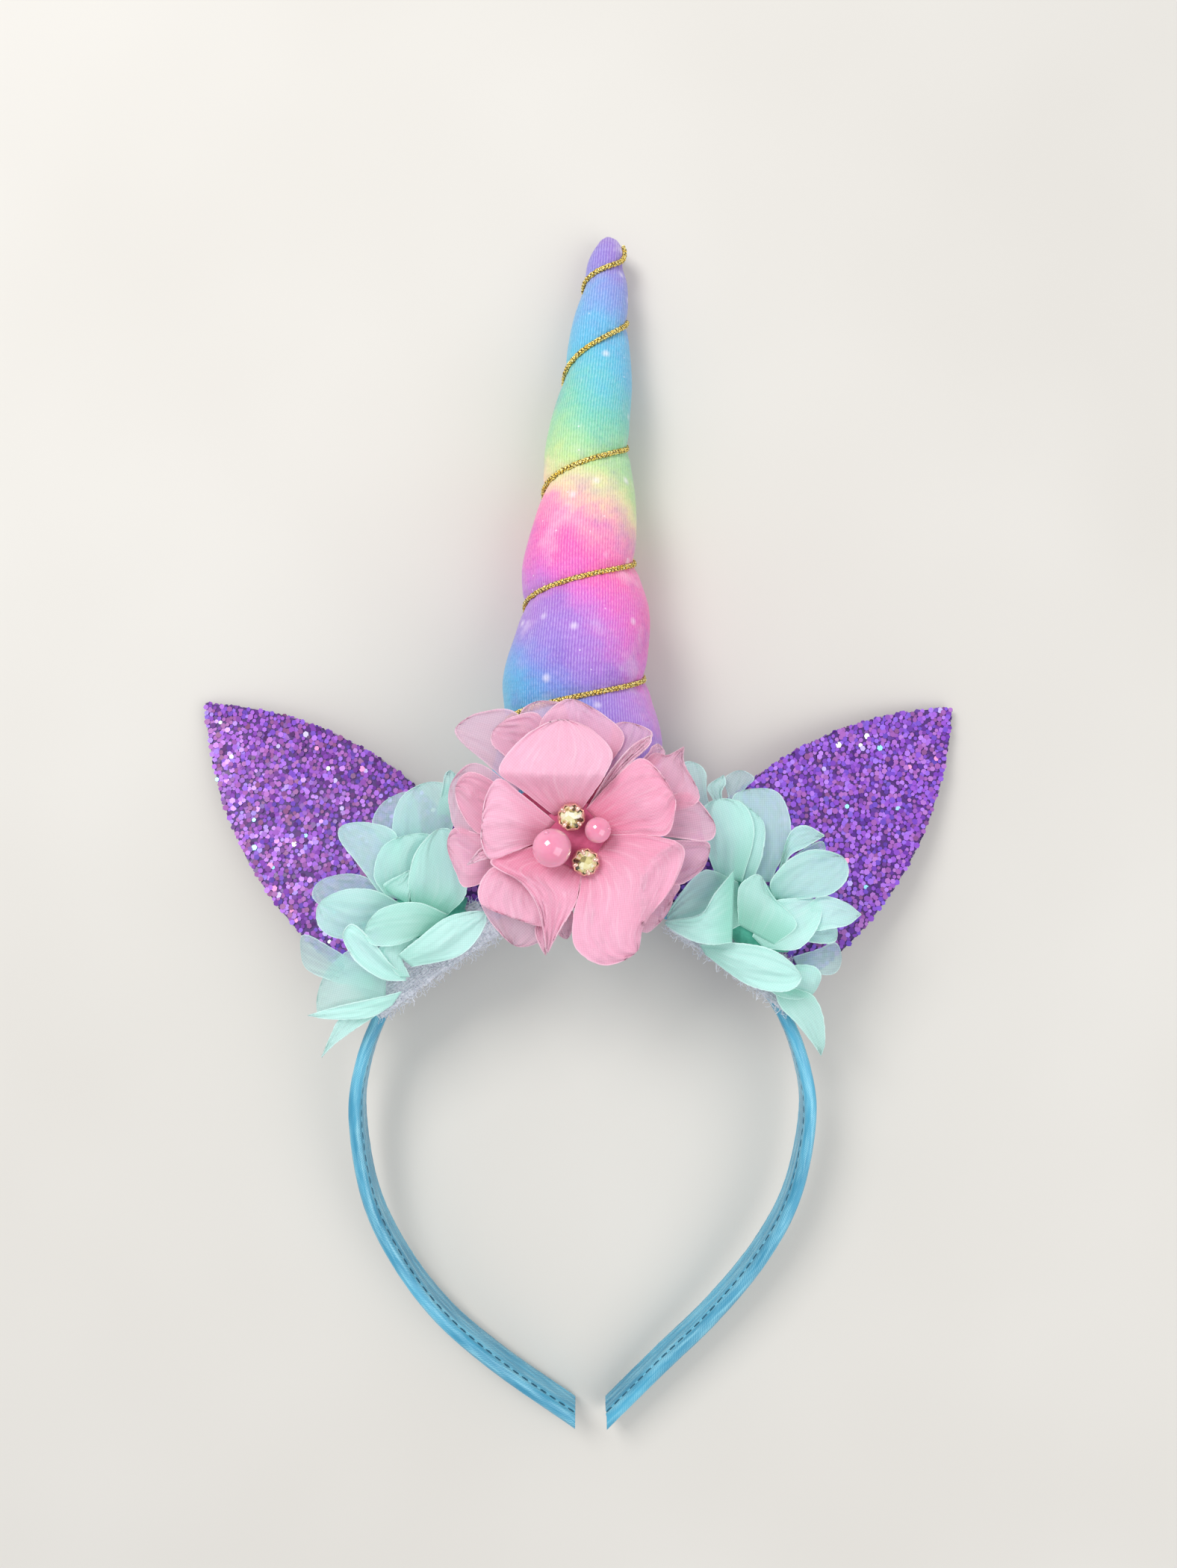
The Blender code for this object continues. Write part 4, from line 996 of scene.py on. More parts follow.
flowerOuter = (
    ("upper_left", 0.9, 0, 45.4, 43.2, 0.5, 0, 0, ((-15, 26.5), (-23, 33.5), (-29, 39), (-29, 42),
        (-23.5, 45), (-15, 44.5), (-8.5, 31.5))),
    ("upper_dense", 0.45, 0, 45.8, 45.6, 0.4, 0, 0, ((-14, 26.5), (-17, 33.5), (-21, 37.5),
        (-20.5, 41), (-16, 44), (-9.5, 44), (-6.5, 31.5))),
    ("top_sheer", 0.95, 0, 45, 44, 0.4, 0, 0, ((-11.5, 32), (-14.5, 41.5), (-14, 45.5), (-10.5, 47.5),
        (-6.5, 47.5), (-4, 46), (-2, 37))),
    ("top_wide", 0.45, 0, 46, 46.4, 0.4, 0, 0, ((-8.5, 32), (-10, 41.5), (-6.5, 46.5), (-2, 48),
        (5, 44.5), (10, 39), (5.5, 31.5))),
    ("right_top", 0.85, 0, 45.4, 44.6, 0.5, 0, 0, ((2.5, 30), (6.5, 37), (7.5, 42), (11.5, 42.5),
        (16.5, 40), (13, 35.5), (6.5, 29))),
    ("right_chip", 0.6, 0, 45.4, 43.8, 0.3, 0, 0, ((12, 31.5), (15.5, 35.5), (16.5, 37), (18, 37.5),
        (19.5, 35.5), (18.5, 34), (15, 30.5))),
    ("right_point", 0.65, 1, 45.4, 43.4, 0.5, 0, 0, ((9.5, 26.5), (16, 35), (20, 35), (24, 37),
        (24, 33), (27.5, 24.5), (19, 21))),
    ("right", 0.7, 0, 45.6, 42.8, 0.8, 0, 0, ((12, 23), (22, 26), (26.5, 25), (31, 19), (30, 15),
        (23, 15.5), (12, 17))),
    ("right_low", 0.7, 0, 45.2, 42.4, 0.8, 0, 0, ((12, 15.5), (23.5, 15), (29.5, 14.5), (29.5, 11),
        (27.5, 7.5), (22, 4.5), (12, 6))),
    ("left_sheer", 0.85, 0, 45.4, 42.6, 0.8, 0, 0, ((-12.5, 23), (-20.5, 31), (-26, 33), (-30.5, 28.5),
        (-31, 22.5), (-28, 16.5), (-15, 15.5))),
    ("left_dense", 0.4, 0, 45.9, 44.6, 0.6, 0, 0, ((-12.5, 22), (-21, 29), (-26.5, 31), (-29.5, 27.5),
        (-28.5, 22), (-24, 16.5), (-14.5, 15.5))),
    ("left_low", 0.4, 0, 45.5, 42.8, 0.8, 0, 0, ((-14.5, 17), (-23.5, 16.5), (-29.5, 18), (-31.5, 14),
        (-29.5, 7.5), (-26.5, 4), (-15, 9))),
    ("bottom_left", 0.85, 0, 45, 41.6, 1, 0, 0, ((-12.5, 6.5), (-23.5, 5), (-23, -1.5), (-16, -9.5),
        (-9.5, -8.5), (-8.5, -4.5), (-6.5, 4))),
    ("bottom_chip", 0.6, 0, 45, 42.6, 0.4, 0, 0, ((-6, -0.5), (-6.5, -5.5), (-5, -7.5), (-3.5, -8),
        (-2.5, -6.5), (-2, -3), (-3, 1.5))),
    ("bottom_point", 0.3, 1, 45.4, 43, 0.4, 0, 0, ((-8.5, -0.5), (-11, -5.5), (-10, -9.5), (-8.5, -12),
        (-7.5, -9), (-7, -5.5), (-6.5, -0.5))),
    ("bottom_right", 0.6, 0, 45.4, 43.4, 0.8, 0, 0, ((7.5, 4), (22, 5), (21.5, 1.5), (20, -2),
        (17, -5.5), (14, -6.5), (7.5, -3))),
)
mintLeft = (
    ("far_low", 0.9, 0, 27.5, 17.5, 2, 0, 0, ((-51.5, -22.5), (-61.5, -20.5), (-68, -17.5),
        (-69.5, -12.5), (-68.5, -9), (-61.5, -12.5), (-51.5, -19))),
    ("back_sliver", 0.9, 0, 29, 21.5, 1, 0, 0, ((-45, 7.5), (-51.5, 17), (-50.5, 22), (-47, 25),
        (-42.5, 26), (-40.5, 20.5), (-39, 9))),
    ("back_tall", 0.65, 0, 30, 25.5, 1.5, 0, 0, ((-45.5, 5), (-47, 16.5), (-45, 24.5), (-38.5, 28.5),
        (-32, 27.5), (-30.5, 23), (-36, 5.5))),
    ("back_small", 0.5, 0, 29, 28, 0.6, 0, 0, ((-36, 20.5), (-34.5, 27.5), (-34, 30.5), (-32.5, 31.5),
        (-31, 30), (-31, 27.5), (-32, 20.5))),
    ("grey_left", 0.85, 0, 30, 24, 1.2, 0, 0, ((-51.5, -1.5), (-61.5, -3), (-66.5, 0), (-65, 4),
        (-59, 6), (-53, 5), (-47, 0))),
    ("low_sheer", 0.75, 0, 28.5, 20.5, 2, 0, 0, ((-48.5, -26), (-59, -28.5), (-65, -29), (-65, -22.5),
        (-61.5, -16), (-55, -12.5), (-48.5, -20.5))),
    ("spike", 0.15, 1, 28, 21.5, 0.8, 0.4, 0, ((-54, -26), (-60, -30), (-62, -33.5), (-64.5, -39.5),
        (-61, -36), (-55.5, -32), (-48.5, -27.5))),
    ("upper_left", 0.55, 0, 31, 28, 1.5, 0, 0.4, ((-49.5, 0.5), (-55.5, 8.5), (-60, 14.5), (-59, 18),
        (-52, 18.5), (-45.5, 15), (-45, 1))),
    ("upper_mid", 0.5, 0, 31.5, 31.5, 1, 0, 0, ((-48.5, 0.5), (-51.5, 5.5), (-49.5, 12.5),
        (-43.5, 15.5), (-37.5, 15.5), (-40, 11.5), (-42.5, -1))),
    ("light_tip", 0.25, 1, 32.5, 33.2, 0.3, 0, 0, ((-48.5, 2), (-49, 3.5), (-45.5, 5.5), (-41.5, 7.5),
        (-42, 4), (-42.5, 1), (-43, -1.5))),
    ("left_round", 0.4, 0, 31, 29, 1.8, 0.2, 0.4, ((-48.5, -6), (-59, -10), (-65, -7), (-65, -1.5),
        (-59, 2), (-51.5, 2), (-44.5, -1.5))),
    ("upper_right", 0.25, 0, 32, 35.4, 1, -0.3, 0.3, ((-42, -1.5), (-43, 4), (-41, 11.5), (-35.5, 17),
        (-31, 15), (-28.5, 2), (-33, -4))),
    ("long_point", 0.08, 1, 29, 24.5, 1.6, 0.2, 0.8, ((-47, -26.5), (-52.5, -29.5), (-61.5, -30),
        (-68, -29), (-61.5, -27), (-52.5, -25), (-44.5, -23))),
    ("centre_round", 0.35, 0, 33.5, 34.4, 1.4, -0.2, 0.4, ((-38.5, -8.5), (-45.5, -11.5), (-52, -11.5),
        (-53.5, -7.5), (-49.5, -2.5), (-41, -1), (-33, -4))),
    ("mid_light", 0.15, 0, 31.6, 33.2, 0.6, 0, 0, ((-45, -19.5), (-48.5, -16), (-50.5, -12.5),
        (-45.5, -10.5), (-40.5, -10), (-44.5, -14), (-42.5, -19.5))),
    ("cupped", 0.05, 0, 31, 35.6, -0.6, 1.4, 2, ((-43.5, -20.5), (-49.5, -20), (-55.5, -16),
        (-58.5, -11.5), (-59, -8.5), (-56.5, -6.5), (-51.5, -11), (-47.5, -16), (-43.5, -19))),
    ("front_leaf", 0.02, 0, 33.6, 36.4, 1.5, -0.4, -0.8, ((-45.5, -14), (-40.5, -10), (-33, -4.5),
        (-24, -3.5), (-25.5, -9.5), (-31, -14.5), (-42, -17))),
)
mintRight = (
    ("back_clear", 0.95, 0, 27, 22.5, 1, 0, 0, ((37.5, 15.5), (36, 25.5), (35, 29.5), (39, 31.5),
        (42.5, 29.5), (39.5, 25.5), (40, 15.5))),
    ("back_left", 0.7, 0, 29, 26.5, 0.8, 0, 0, ((33, 13), (27.5, 23), (25, 32.5), (27.5, 33.5),
        (30.5, 31), (31, 24.5), (36, 13))),
    ("back_tip", 0.4, 1, 29, 26.5, 0.6, 0, 0, ((36, 15.5), (32.5, 24), (31, 27.5), (35, 30.5),
        (35.5, 28.5), (34.5, 25), (38, 15.5))),
    ("low_grey", 0.85, 0, 27, 19.5, 1.5, 0, 0, ((52, -14.5), (58.5, -12.5), (62.5, -11), (64, -14.5),
        (63, -18), (60, -19), (53.5, -17.5))),
    ("point_back", 0.8, 0, 29, 28, 0.8, 0, 0, ((49.5, 4.5), (52, 10), (58.5, 14), (60, 12.5),
        (59.5, 11.5), (56, 10), (51, 4))),
    ("back_wide", 0.62, 0, 30.5, 27.5, 1.5, 0, 0.4, ((42, 4), (40, 15.5), (37, 24.5), (42.5, 27),
        (49, 25.5), (51.5, 16), (46.5, 4))),
    ("folded_point", 0.3, 1, 31, 31, 1.4, 0.2, 0.5, ((48, 5), (51, 15.5), (55, 18), (60, 15.5),
        (55, 12.5), (51, 10), (49, 4))),
    ("right_round", 0.3, 0, 31, 28.6, 1.8, 0.4, 0.2, ((47.5, 0), (46.5, 4), (51, 9.5), (57.5, 12),
        (64.5, 10), (65.5, 5), (61.5, 1), (56, 0), (49.5, -0.5))),
    ("tail", 0.3, 1, 28.5, 20.5, 1.2, 0, 0.6, ((52, -22), (57, -24), (59.5, -29), (60, -35.5),
        (59, -39), (57, -36), (53, -31), (49, -27), (47.5, -23))),
    ("low_pale", 0.3, 0, 28.5, 25.5, 1.2, 0, 0, ((47.5, -17), (56, -16.5), (59, -19), (57, -23.5),
        (53, -25), (48, -24), (42.5, -20))),
    ("right_edge", 0.25, 0, 30, 25.5, 0.8, 0.4, 0.2, ((52, -6.5), (58.5, -6.5), (62, -6.5), (63, -8.5),
        (62, -11), (57, -11), (53, -9.5))),
    ("right_point", 0.12, 1, 31, 26.5, 1.6, -0.3, 0.6, ((53.5, -3), (59, 0.5), (65, -1), (69, -4),
        (66, -6.5), (62, -7.5), (56, -8.5))),
    ("mid_bright", 0.1, 0, 32, 29.6, 1.4, 0, 0.6, ((42, -9.5), (46, -1.5), (53, 0), (58.5, -1),
        (58.5, -6.5), (53.5, -12.5), (45, -12.5))),
    ("upright_edge", 0.4, 0, 32, 31.8, 0.8, 0, 0, ((37.5, 4.5), (37.5, 14), (37.5, 24), (42, 21.5),
        (45, 18), (44.5, 10.5), (42, 4))),
    ("upright", 0.2, 0, 32.5, 34.6, 1, -0.3, -0.3, ((33, 5.5), (30.5, 13), (29.5, 21.5), (34, 24.5),
        (40, 23), (42.5, 16), (39.5, 4))),
    ("centre_back", 0.3, 0, 32.5, 34.4, 1, 0.4, -0.6, ((38.5, -6.5), (38.5, 2), (41, 5), (44, 5.5),
        (47.5, 0), (53, -6.5), (47.5, -11.5))),
    ("cone_back", 0.45, 0, 32.5, 33, 0.6, -0.4, 0.6, ((39.5, -6.5), (33, -9), (25, -6.5), (21, -5),
        (24.5, 1.5), (30.5, 7), (38.5, 4))),
    ("front_lower", 0.02, 0, 29, 32.6, 2.4, 0.6, -0.6, ((29, -11.5), (37.5, -11), (47.5, -13),
        (54, -19), (50.5, -23), (41, -21.5), (30.5, -14))),
    ("cone_front", 0.03, 0, 35.2, 33.6, 2, 1.2, -0.8, ((37.5, 7), (33, 1.5), (29, -4), (20.5, -6),
        (26, -10), (31.5, -11.5), (37, -11))),
)
petal = {"rows": 44, "columns": 34, "wall": 0.24, "end": 0.985, "fray": 0.14, "fan": 9.0,
         "slack": 1.04}  # the cloth's own area over its outlines' area, for its small folds
creases = {"top": (0.4, 6.0)}  # a fold across the petal: share of the way to the tip, height
ridges = {  # folds along a petal: points, height, width
    "right_lower": ((((22.5, 15), (16, 10), (14, 6), (14, -4)), 3.4, 1.2),
                    (((2, 3), (3, -3), (4, -12)), 1.2, 0.9)),
    "left_lower": ((((-20.5, 10.5), (-12.5, 6.5), (-8, 0), (-8, -10.5)), 1.8, 1.1),),
    "left": ((((-9, 17), (-15, 20), (-22, 19)), 1.1, 0.9),),
    "right_upper": ((((5, 20), (12, 23), (19, 24)), 1.0, 0.9),),
    "right_round": ((((46.5, 4), (51, 7.5), (57, 10), (63, 10)), 1.2, 0.9),),
    "long_point": ((((-47, -25), (-56, -27.5), (-67, -29)), 0.9, 0.7),),
    "front_lower": ((((32, -12.5), (41, -16), (51, -19)), 1.0, 0.8),),
    "front_leaf": ((((-43, -15.5), (-34, -10.5), (-25, -5)), 0.9, 0.8),),
}
mint = {
    "through": 0.28,  # share of the light that comes through from behind
    "crumple": 0.5, "folds": 2.2, "crinkle": 0.07, "soft": 0.9, "cloth": "#c2f4e8", "light": "#dcfff9",
    "deep": "#6fcdb0", "edge": "#f6fffd", "dense": 0.78, "thin": 0.2,
    "lines": 0.8, "lineShare": 0.05, "press": 0.25,
    "tones": {"front_leaf": 1, "long_point": 1, "cupped": 1, "mid_light": 0.9, "spike": 0.9,
              "mid_bright": 0.9, "front_lower": 0.8, "cone_front": 0.5, "upright": 0.4, "right_point": 1},
}
pink = {
    "through": 0.28,
    "crumple": 0.7, "folds": 3.0, "crinkle": 0.2, "soft": 0.8, "cloth": "#ffa8c6", "light": "#ffd2e6",
    "deep": "#f0769e", "edge": "#fff2f8", "dense": 0.93, "thin": 0.28,
    "lines": 1.5, "lineShare": 0.1, "press": 0.35,
    "tones": {"top": 0.75, "left": 0.8, "left_spike": 1, "top_strip": 0.8, "right_upper": 0.1,
              "right_lower": 0.4, "left_lower": 0.3, "left_back": 0.5},
}


def distanceTo(line, point):
    best = 1e9
    for a, b in zip(line, line[1:]):
        run = b - a
        share = min(max((point - a).dot(run) / run.length_squared, 0), 1)
        best = min(best, (a + run * share - point).length)
    return best


def petalSurface(row, look, plane, seed):
    name, _, pointed, rootHeight, tipHeight, arch, firstLift, secondLift, outline = row
    knots = [Vector(p) for p in outline]
    middle = len(knots) // 2
    sides = []
    for way, after in ((knots[: middle + 1], knots[middle + 1]),
                       (knots[: middle - 1 : -1], knots[middle - 1])):
        sides.append([2 * way[0] - way[1], *way, 2 * way[-1] - way[-2] if pointed else after])
    length = ((knots[0] + knots[-1]) / 2 - knots[middle]).length
    folds = [([Vector(p) for p in line], *size) for line, *size in ridges.get(name, ())]
    creaseAt, creaseHeight = creases.get(name, (0.5, 0))

    def edges(t):
        return (splineAt(side, t * middle) for side in sides)

    def flat(t, s):
        a, b = edges(t)
        span = (b - a).length
        ragged = petal["fray"] * noise.noise((t * length * 1.6, s * span * 1.6, seed)) * abs(s) ** 12
        return a.lerp(b, (s + 1) / 2) + (b - a).normalized() * ragged, span

    def surface(t, s):
        seen, span = flat(t, s)
        height = rootHeight + (tipHeight - rootHeight) * t + arch * 4 * t * (1 - t)
        lift = firstLift * max(-s, 0) ** 2 + secondLift * max(s, 0) ** 2
        height += lift * math.sin(math.pi * min(t * 1.05, 1))
        if creaseHeight:
            before, beyond = t / creaseAt, (1 - t) / (1 - creaseAt)
            height += creaseHeight * min(before, beyond**1.5) * (1 - 0.25 * s * s)
        for line, ridge, wide in folds:
            height += ridge * math.exp(-distanceTo(line, seen) / wide) * min(5 * t, 1)
        grow = min(3 * t, 1) * min(span / 6, 1)
        wander = noise.noise((s * look["folds"] + seed * 3.1, t * 1.4, seed * 0.7))
        height += look["crumple"] * max(0, 1 - 3.2 * abs(wander)) ** 1.5 * grow
        fine = noise.noise((s * petal["fan"] * 0.5 + seed, t * 2.0, 7.3))
        height += look["crinkle"] * max(0, 1 - 2.6 * abs(fine)) * grow
        height += look["soft"] * noise.noise((t * 1.8 + seed, s * 1.2, 4)) * grow
        near = (camera["height"] - height) / (camera["height"] - plane)
        return Vector((camera["x"] + (seen.x - camera["x"]) * near,
                       camera["y"] + (seen.y - camera["y"]) * near, height))

    def rim(t, s):
        a, b = edges(t)
        return min((1 - abs(s)) / 2 * (b - a).length, (petal["end"] - t) * length)

    return surface, flat, rim


def bunchData(rows, look, plane, firstSeed):
    points, faces, uvs = [], [], []
    values = {"rim": [], "tone": [], "sheer": [], "out": [], "lane": [], "reach": []}
    area, widths, lengths = 0.0, [], []
    ts = [petal["end"] * (1 - (1 - i / petal["rows"]) ** 1.4) for i in range(petal["rows"] + 1)]
    ss = [math.sin(math.pi / 2 * (2 * i / petal["columns"] - 1)) for i in range(petal["columns"] + 1)]
    for index, row in enumerate(rows):
        seed = firstSeed + index
        surface, flat, rim = petalSurface(row, look, plane, seed)
        some, more = wallOf(surface, ts, ss, petal["wall"])
        start = len(points)
        points += some
        faces += [tuple(i + start for i in face) for face in more]
        turn = seed * 2.4
        tone = look["tones"].get(row[0], (seed * 0.618) % 0.6)
        spans = []
        middles = [flat(t, 0)[0] for t in ts]
        steps = [(b - a).length for a, b in zip(middles, middles[1:])]
        for _ in range(2):
            for t in ts:
                for s in ss:
                    seen, span = flat(t, s)
                    uvs.append((seen.x * math.cos(turn) - seen.y * math.sin(turn) + 90 * index,
                                seen.x * math.sin(turn) + seen.y * math.cos(turn)))
                    values["rim"].append(rim(t, s))
                    values["tone"].append(tone)
                    values["sheer"].append(row[1])
                    values["out"].append(t)
                    values["lane"].append(s * petal["fan"] + 40 * seed)
                    values["reach"].append(t * sum(steps))
                spans.append(span)
        area += sum((a + b) / 2 * step for a, b, step in zip(spans, spans[1:], steps))
        widths.append(max(spans))
        lengths.append(sum(steps))
    return points, faces, uvs, values, area, (sum(widths), max(lengths))


gathers = {"rows": 14, "sides": 48, "pleats": 16, "pleat": 0.05}


def rootLump(x, y, z, length, width, height, turn):
    rows, sides = gathers["rows"], gathers["sides"]
    points = []
    for row in range(rows + 1):
        level = math.pi * (row / rows - 0.5)
        for k in range(sides):
            angle = 2 * math.pi * k / sides
            ring = math.cos(level) * (1 + gathers["pleat"] * math.sin(angle * gathers["pleats"])) + 0.02
            a, b = length * ring * math.cos(angle), width * ring * math.sin(angle)
            points.append(Vector((x + a * math.cos(turn) - b * math.sin(turn),
                                  y + a * math.sin(turn) + b * math.cos(turn),
                                  z + height * math.sin(level))))
    return points, tubeFaces(rows + 1, sides)


def chiffonMaterial(name, look):
    material, graph, shader = newMaterial(name, {
        "Roughness": 0.6, "Specular IOR Level": 0.3, "Sheen Weight": 0.12, "Sheen Roughness": 0.4})
    wire, across, along = uv(graph)
    rim, tone = attribute(graph, "rim"), attribute(graph, "tone")
    sheer, out = attribute(graph, "sheer"), attribute(graph, "out")
    threads = graph.sum("SINE", across * 12.6) * 0.5 + graph.sum("SINE", along * 11.8) * 0.5
    cloud = graph.noise(graph.stretch(wire, (0.12, 0.12, 1)), 1.0, 4.0, 0.6)
    lane, reach = attribute(graph, "lane"), attribute(graph, "reach")
    strip = graph.add("ShaderNodeCombineXYZ", None, {0: lane * look["lines"], 1: reach * 0.13})[0]
    pressed = graph.noise(strip, 1.0, 3.0, 0.6, 0.4)
    lines = graph.span(graph.sum("ABSOLUTE", pressed - 0.5), 0.0, 0.05, 1.0, 0.0)
    share = graph.clamp(tone * 0.75 + cloud * 0.5 - 0.1)
    base = graph.mix(share, colour(look["cloth"]), colour(look["light"]))
    # painted shade: darker towards the petals' roots, where the layers crowd at the middle
    base = graph.mix(graph.span(out, 0.45, 0.0) * (0.85 - tone * 0.6), base, colour(look["deep"]))
    base = graph.mix(sheer * 0.55, base, colour(look["edge"]))  # painted light: sheer petals are lightened to offset the shade they lie in under the inner petals
    # painted highlight on the crests of the pressed crinkles
    base = graph.mix(graph.span(pressed, 0.5, 0.7) * 0.25, base, colour(look["edge"]))
    # painted highlight along the pressed crease lines
    base = graph.mix(lines * look["lineShare"], base, colour(look["edge"]))
    edge = graph.span(rim, 0.08, 0.34, 1.0, 0.0)
    base = graph.mix(edge * 0.4, base, colour(look["edge"]))
    base = graph.mix(graph.clamp(threads * 0.5) * 0.22, base, colour(look["edge"]))
    graph.put(base, shader.inputs["Base Color"])
    cover = look["dense"] - sheer * (look["dense"] - look["thin"]) + threads * 0.07 + edge * 0.3
    graph.put(graph.clamp(cover), shader.inputs["Alpha"])
    fine = graph.noise(graph.stretch(wire, (1.6, 0.5, 1)), 1.0, 3.0, 0.6)
    normal = graph.bump(threads, 0.15, 0.0001)
    normal = graph.bump(pressed + lines * 0.25 + fine * 0.2, look["press"], 0.0012, normal)
    graph.put(normal, shader.inputs["Normal"])
    through = graph.add("ShaderNodeBsdfTranslucent", None, {"Color": colour(look["light"])})[0]
    cloth = Wire(graph, shader.outputs[0])
    blend = graph.add("ShaderNodeMixShader", None, {0: look["through"], 1: cloth, 2: through})[0]
    output = material.node_tree.nodes["Material Output"]
    graph.put(blend, output.inputs["Surface"])
    return material


def lumpMaterial(name, low, high):
    material, graph, shader = newMaterial(name, {"Roughness": 0.8, "Sheen Weight": 0.3})
    tone = mottle(graph, shader, 600.0, low, high, 4.0, 0.6)
    graph.put(graph.bump(tone, 0.5, 0.0006), shader.inputs["Normal"])
    return material


def makeBunch(name, rows, look, plane, node, material, lumpFinish, lump, seed):
    points, faces, uvs, values, area, cut = bunchData(rows, look, plane, seed)
    cloth = meshPiece(name, points, faces, uvs, values)
    outwards(cloth)
    finishPiece(cloth, material, [node])
    print(name, "flat", [round(size, 1) for size in cut], "area", round(area), "of", round(cut[0] * cut[1]))
    cut[0] * mm
    cut[1] * mm
    area * petal["slack"] * mm * mm
    lumpPoints, lumpFaces = rootLump(*lump)
    gathered = meshPiece(name + "_root", lumpPoints, lumpFaces)
    outwards(gathered)
    finishPiece(gathered, lumpFinish, [node])


mintCloth = chiffonMaterial("mintChiffon", mint)
pinkCloth = chiffonMaterial("pinkChiffon", pink)
# The mint gathers are coloured deep green as painted shade: the stacked mint layers in shadow between the
# bunches.
mintRoot = lumpMaterial("mintGathers", "#1f7f6b", "#5cb8a0")
pinkRoot = lumpMaterial("pinkGathers", "#a8365f", "#d8688f")
makeBunch("mint_cloth_left", mintLeft, mint, 30, "mint_petals_left", mintCloth, mintRoot,
          (-39.5, -5.5, 29.4, 12.0, 7.8, 3.0, math.radians(36)), 1)
makeBunch("mint_cloth_right", mintRight, mint, 30, "mint_petals_right", mintCloth, mintRoot,
          (42.5, -4.5, 28.8, 12.0, 7.8, 3.0, math.radians(-36)), 31)
makeBunch("pink_cloth_outer", flowerOuter, pink, 45, "flower_outer", pinkCloth, pinkRoot,
          (-1.2, 15.2, 44.6, 16.0, 16.0, 0.55, 0), 61)
makeBunch("pink_cloth_inner", flowerInner, pink, 50, "flower_inner", pinkCloth, pinkRoot,
          (-1.2, 15.2, 46.6, 8.4, 8.4, 0.7, 0), 81)
print("petals gathered")


# Pearls, stones and claws


def pearlMaterial():
    material, graph, shader = newMaterial("pinkPearl", {
        "Roughness": 0.14, "Coat Weight": 1.0, "Coat Roughness": 0.02, "Coat IOR": 1.7, "Sheen Weight": 0.2,
        "Sheen Tint": colour("#ffe6f0"), "Subsurface Weight": 0.15, "Subsurface Scale": 0.002})
    paintedRimSheen = graph.add("ShaderNodeLayerWeight", None, {"Blend": 0.35})["Facing"]
    swirl = graph.noise(place(graph), 260.0, 3.0)
    base = graph.mix(graph.span(swirl, 0.3, 0.7) * 0.3, colour("#df7396"), colour("#f3a9c4"))
    # painted sheen: the pearl turns lighter towards its rim as seen from the camera
    base = graph.mix(paintedRimSheen * 0.55, base, colour("#f9d3e2"))
    graph.put(base, shader.inputs["Base Color"])
    return material


def ball(x, y, z, diameter, rows, sides):
    points = []
    for row in range(rows + 1):
        level = math.pi * (row / rows - 0.5)
        ring = max(math.cos(level), 0.002) * diameter / 2
        for k in range(sides):
            angle = 2 * math.pi * k / sides
            points.append((x + ring * math.cos(angle), y + ring * math.sin(angle),
                           z + diameter / 2 * math.sin(level)))
    return points, tubeFaces(rows + 1, sides)


def roundBead(name, x, y, z, diameter, nub):
    points, faces = ball(x, y, z, diameter, 40, 64)
    more, moreFaces = ball(x + nub[0], y + nub[1], z + nub[2], nub[3], 12, 20)
    faces += [tuple(i + len(points) for i in face) for face in moreFaces]
    piece = meshPiece(name, points + more, faces)
    outwards(piece)
    return piece


pearlCoat = pearlMaterial()
for name, spot, nub, node in (  # spot: x, y, z, diameter; nub: the same from the bead's middle
    ("large_bead", tuple(pearl.values()), (-1.1, 3.5, 2.4, 1.2), "pearl_large"),
    ("small_bead", (3.7, 17.6, 50.65, 6.0), (2.5, 0.3, 1.5, 1.0), "pearl_small"),
):
    finishPiece(roundBead(name, *spot, nub), pearlCoat, [node])


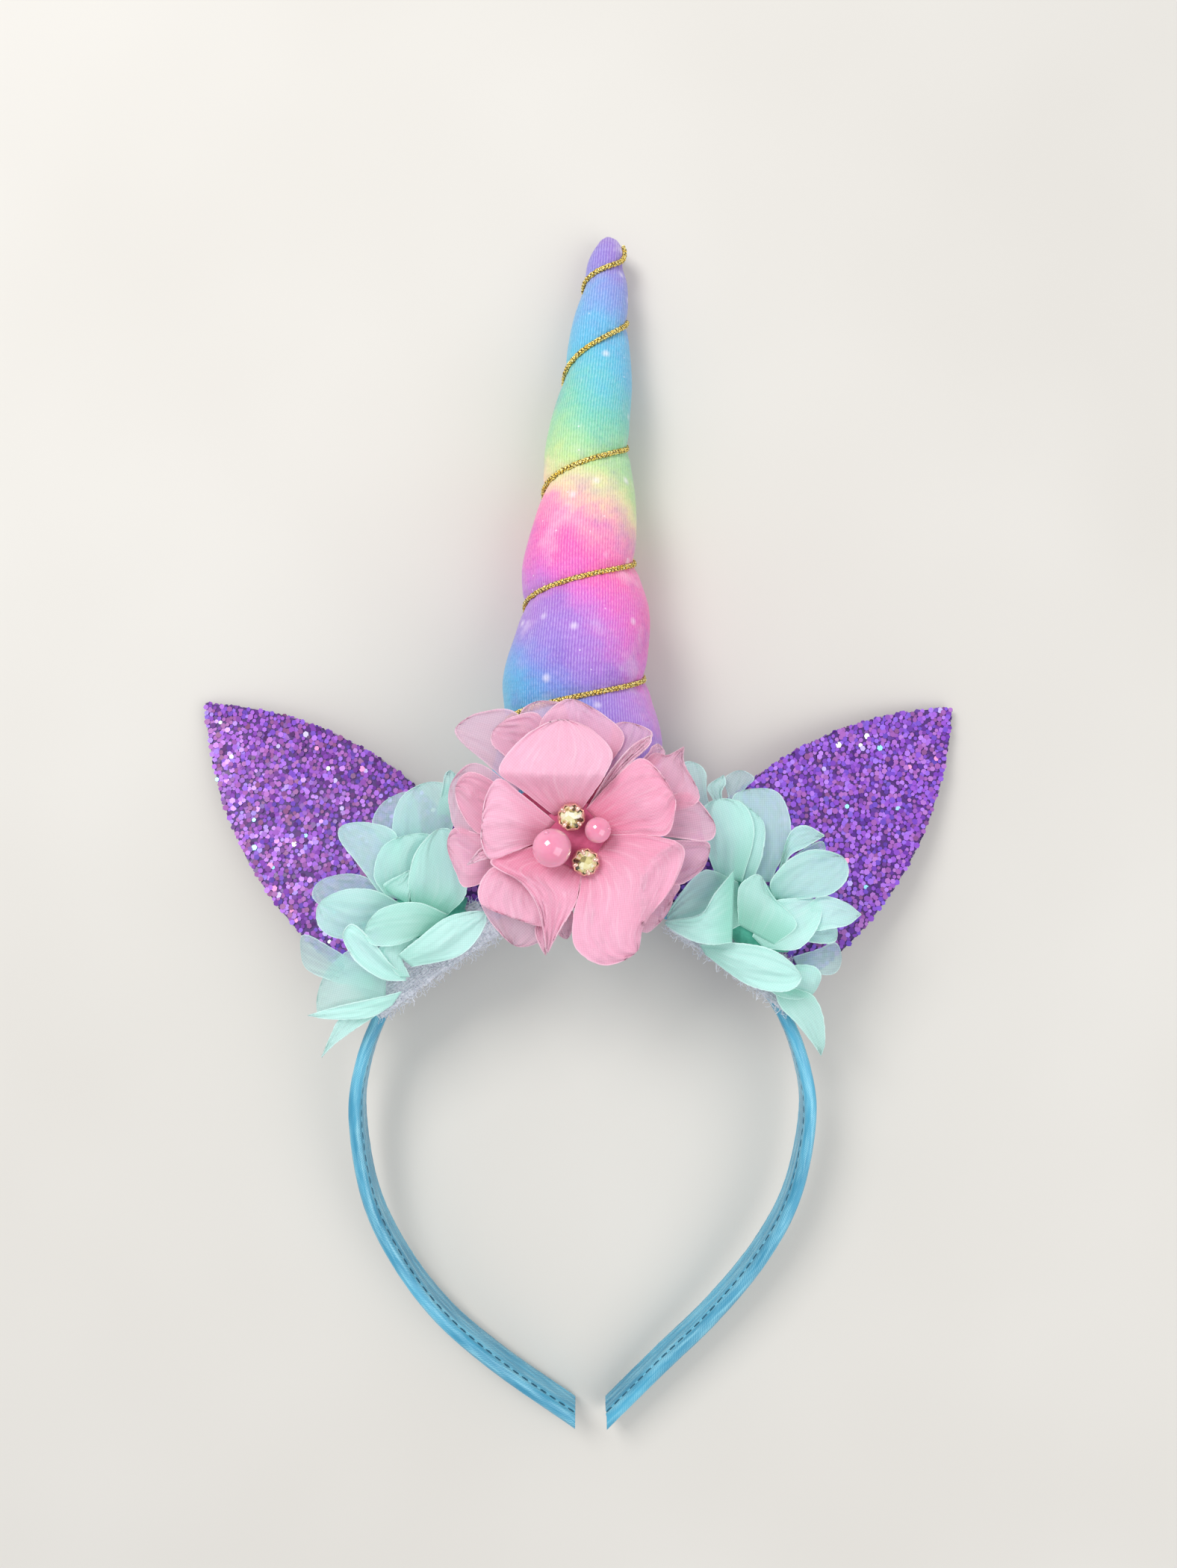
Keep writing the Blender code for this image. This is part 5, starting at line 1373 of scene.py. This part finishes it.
def stoneMaterial(name, x, y, turn):  # facets catch the light by turns round the stone's middle
    material, graph, shader = newMaterial(name, {
        "Roughness": 0.02, "Metallic": 0.3, "Specular IOR Level": 1.0, "Coat Weight": 1.0,
        "Coat Roughness": 0.01})
    middle = inFrame((x, y, 0))
    split = graph.add("ShaderNodeSeparateXYZ", None, {0: place(graph)})
    east, north = (split[0] - middle.x) / mm, (split[1] - middle.y) / mm
    angle = graph.sum("ARCTAN2", north, east) - turn
    reach = graph.sum("SQRT", east * east + north * north)
    chips = graph.noise(place(graph), 900.0, 2.0, 0.7)
    wedge = graph.sum("SINE", angle * 8.0 + chips * 3.0) * 0.5 + 0.5
    facet = graph.cells(place(graph), 850.0)[1]
    share = facet * 0.8 + chips * 0.3 + graph.span(reach, 1.3, 1.7) * (wedge - 0.6) * 0.4
    tones = [(0.12, colour("#4a3f22")), (0.3, colour("#b3a052")), (0.5, colour("#e4d68c")),
             (0.75, colour("#f6eebe")), (0.98, colour("#fffdf2"))]
    graph.put(graph.ramp(share, tones), shader.inputs["Base Color"])
    return material


def clawMaterial():
    material, graph, shader = newMaterial("roseGold", {"Roughness": 0.28, "Metallic": 0.7})
    mottle(graph, shader, 500.0, "#d69c88", "#ffe0d2")
    return material


stones = {"upper": (-2.4, 20.6, 0.1), "lower": (0.9, 10.2, 0.25)}  # x, y, turn
clawTip = {"reach": 2.4, "length": 1.3, "width": 0.85, "height": 0.45, "firstAt": {"upper": 45, "lower": 0}}


def makeClawTips(material):  # every second claw is folded well in over its stone
    points, faces = [], []
    for level, (x, y, turn) in stones.items():
        top = (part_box("setting_" + level)[1][2] - zero.z) / mm
        for k in range(4):
            angle = turn + math.radians(clawTip["firstAt"][level] + 90 * k)
            some, more = ball(0, 0, 0, 1, 10, 16)
            faces += [tuple(i + len(points) for i in face) for face in more]
            for tipX, tipY, tipZ in some:
                out, across = clawTip["reach"] + tipX * clawTip["length"], tipY * clawTip["width"]
                points.append((x + out * math.cos(angle) - across * math.sin(angle),
                               y + out * math.sin(angle) + across * math.cos(angle),
                               top + tipZ * clawTip["height"]))
    piece = meshPiece("claw_tips", points, faces)
    outwards(piece)
    finishPiece(piece, material)


claws = clawMaterial()
for level, spot in stones.items():
    for node, material in (("stone_", stoneMaterial(level + "Stone", *spot)), ("setting_", claws)):
        for slot in bpy.data.objects[node + level].material_slots:
            slot.material = material
makeClawTips(claws)
print("pearls and stones set")

boxes = {"cad": cadBox, "visual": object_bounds()}
{key: [list(map(float, corner)) for corner in box] for key, box in boxes.items()}
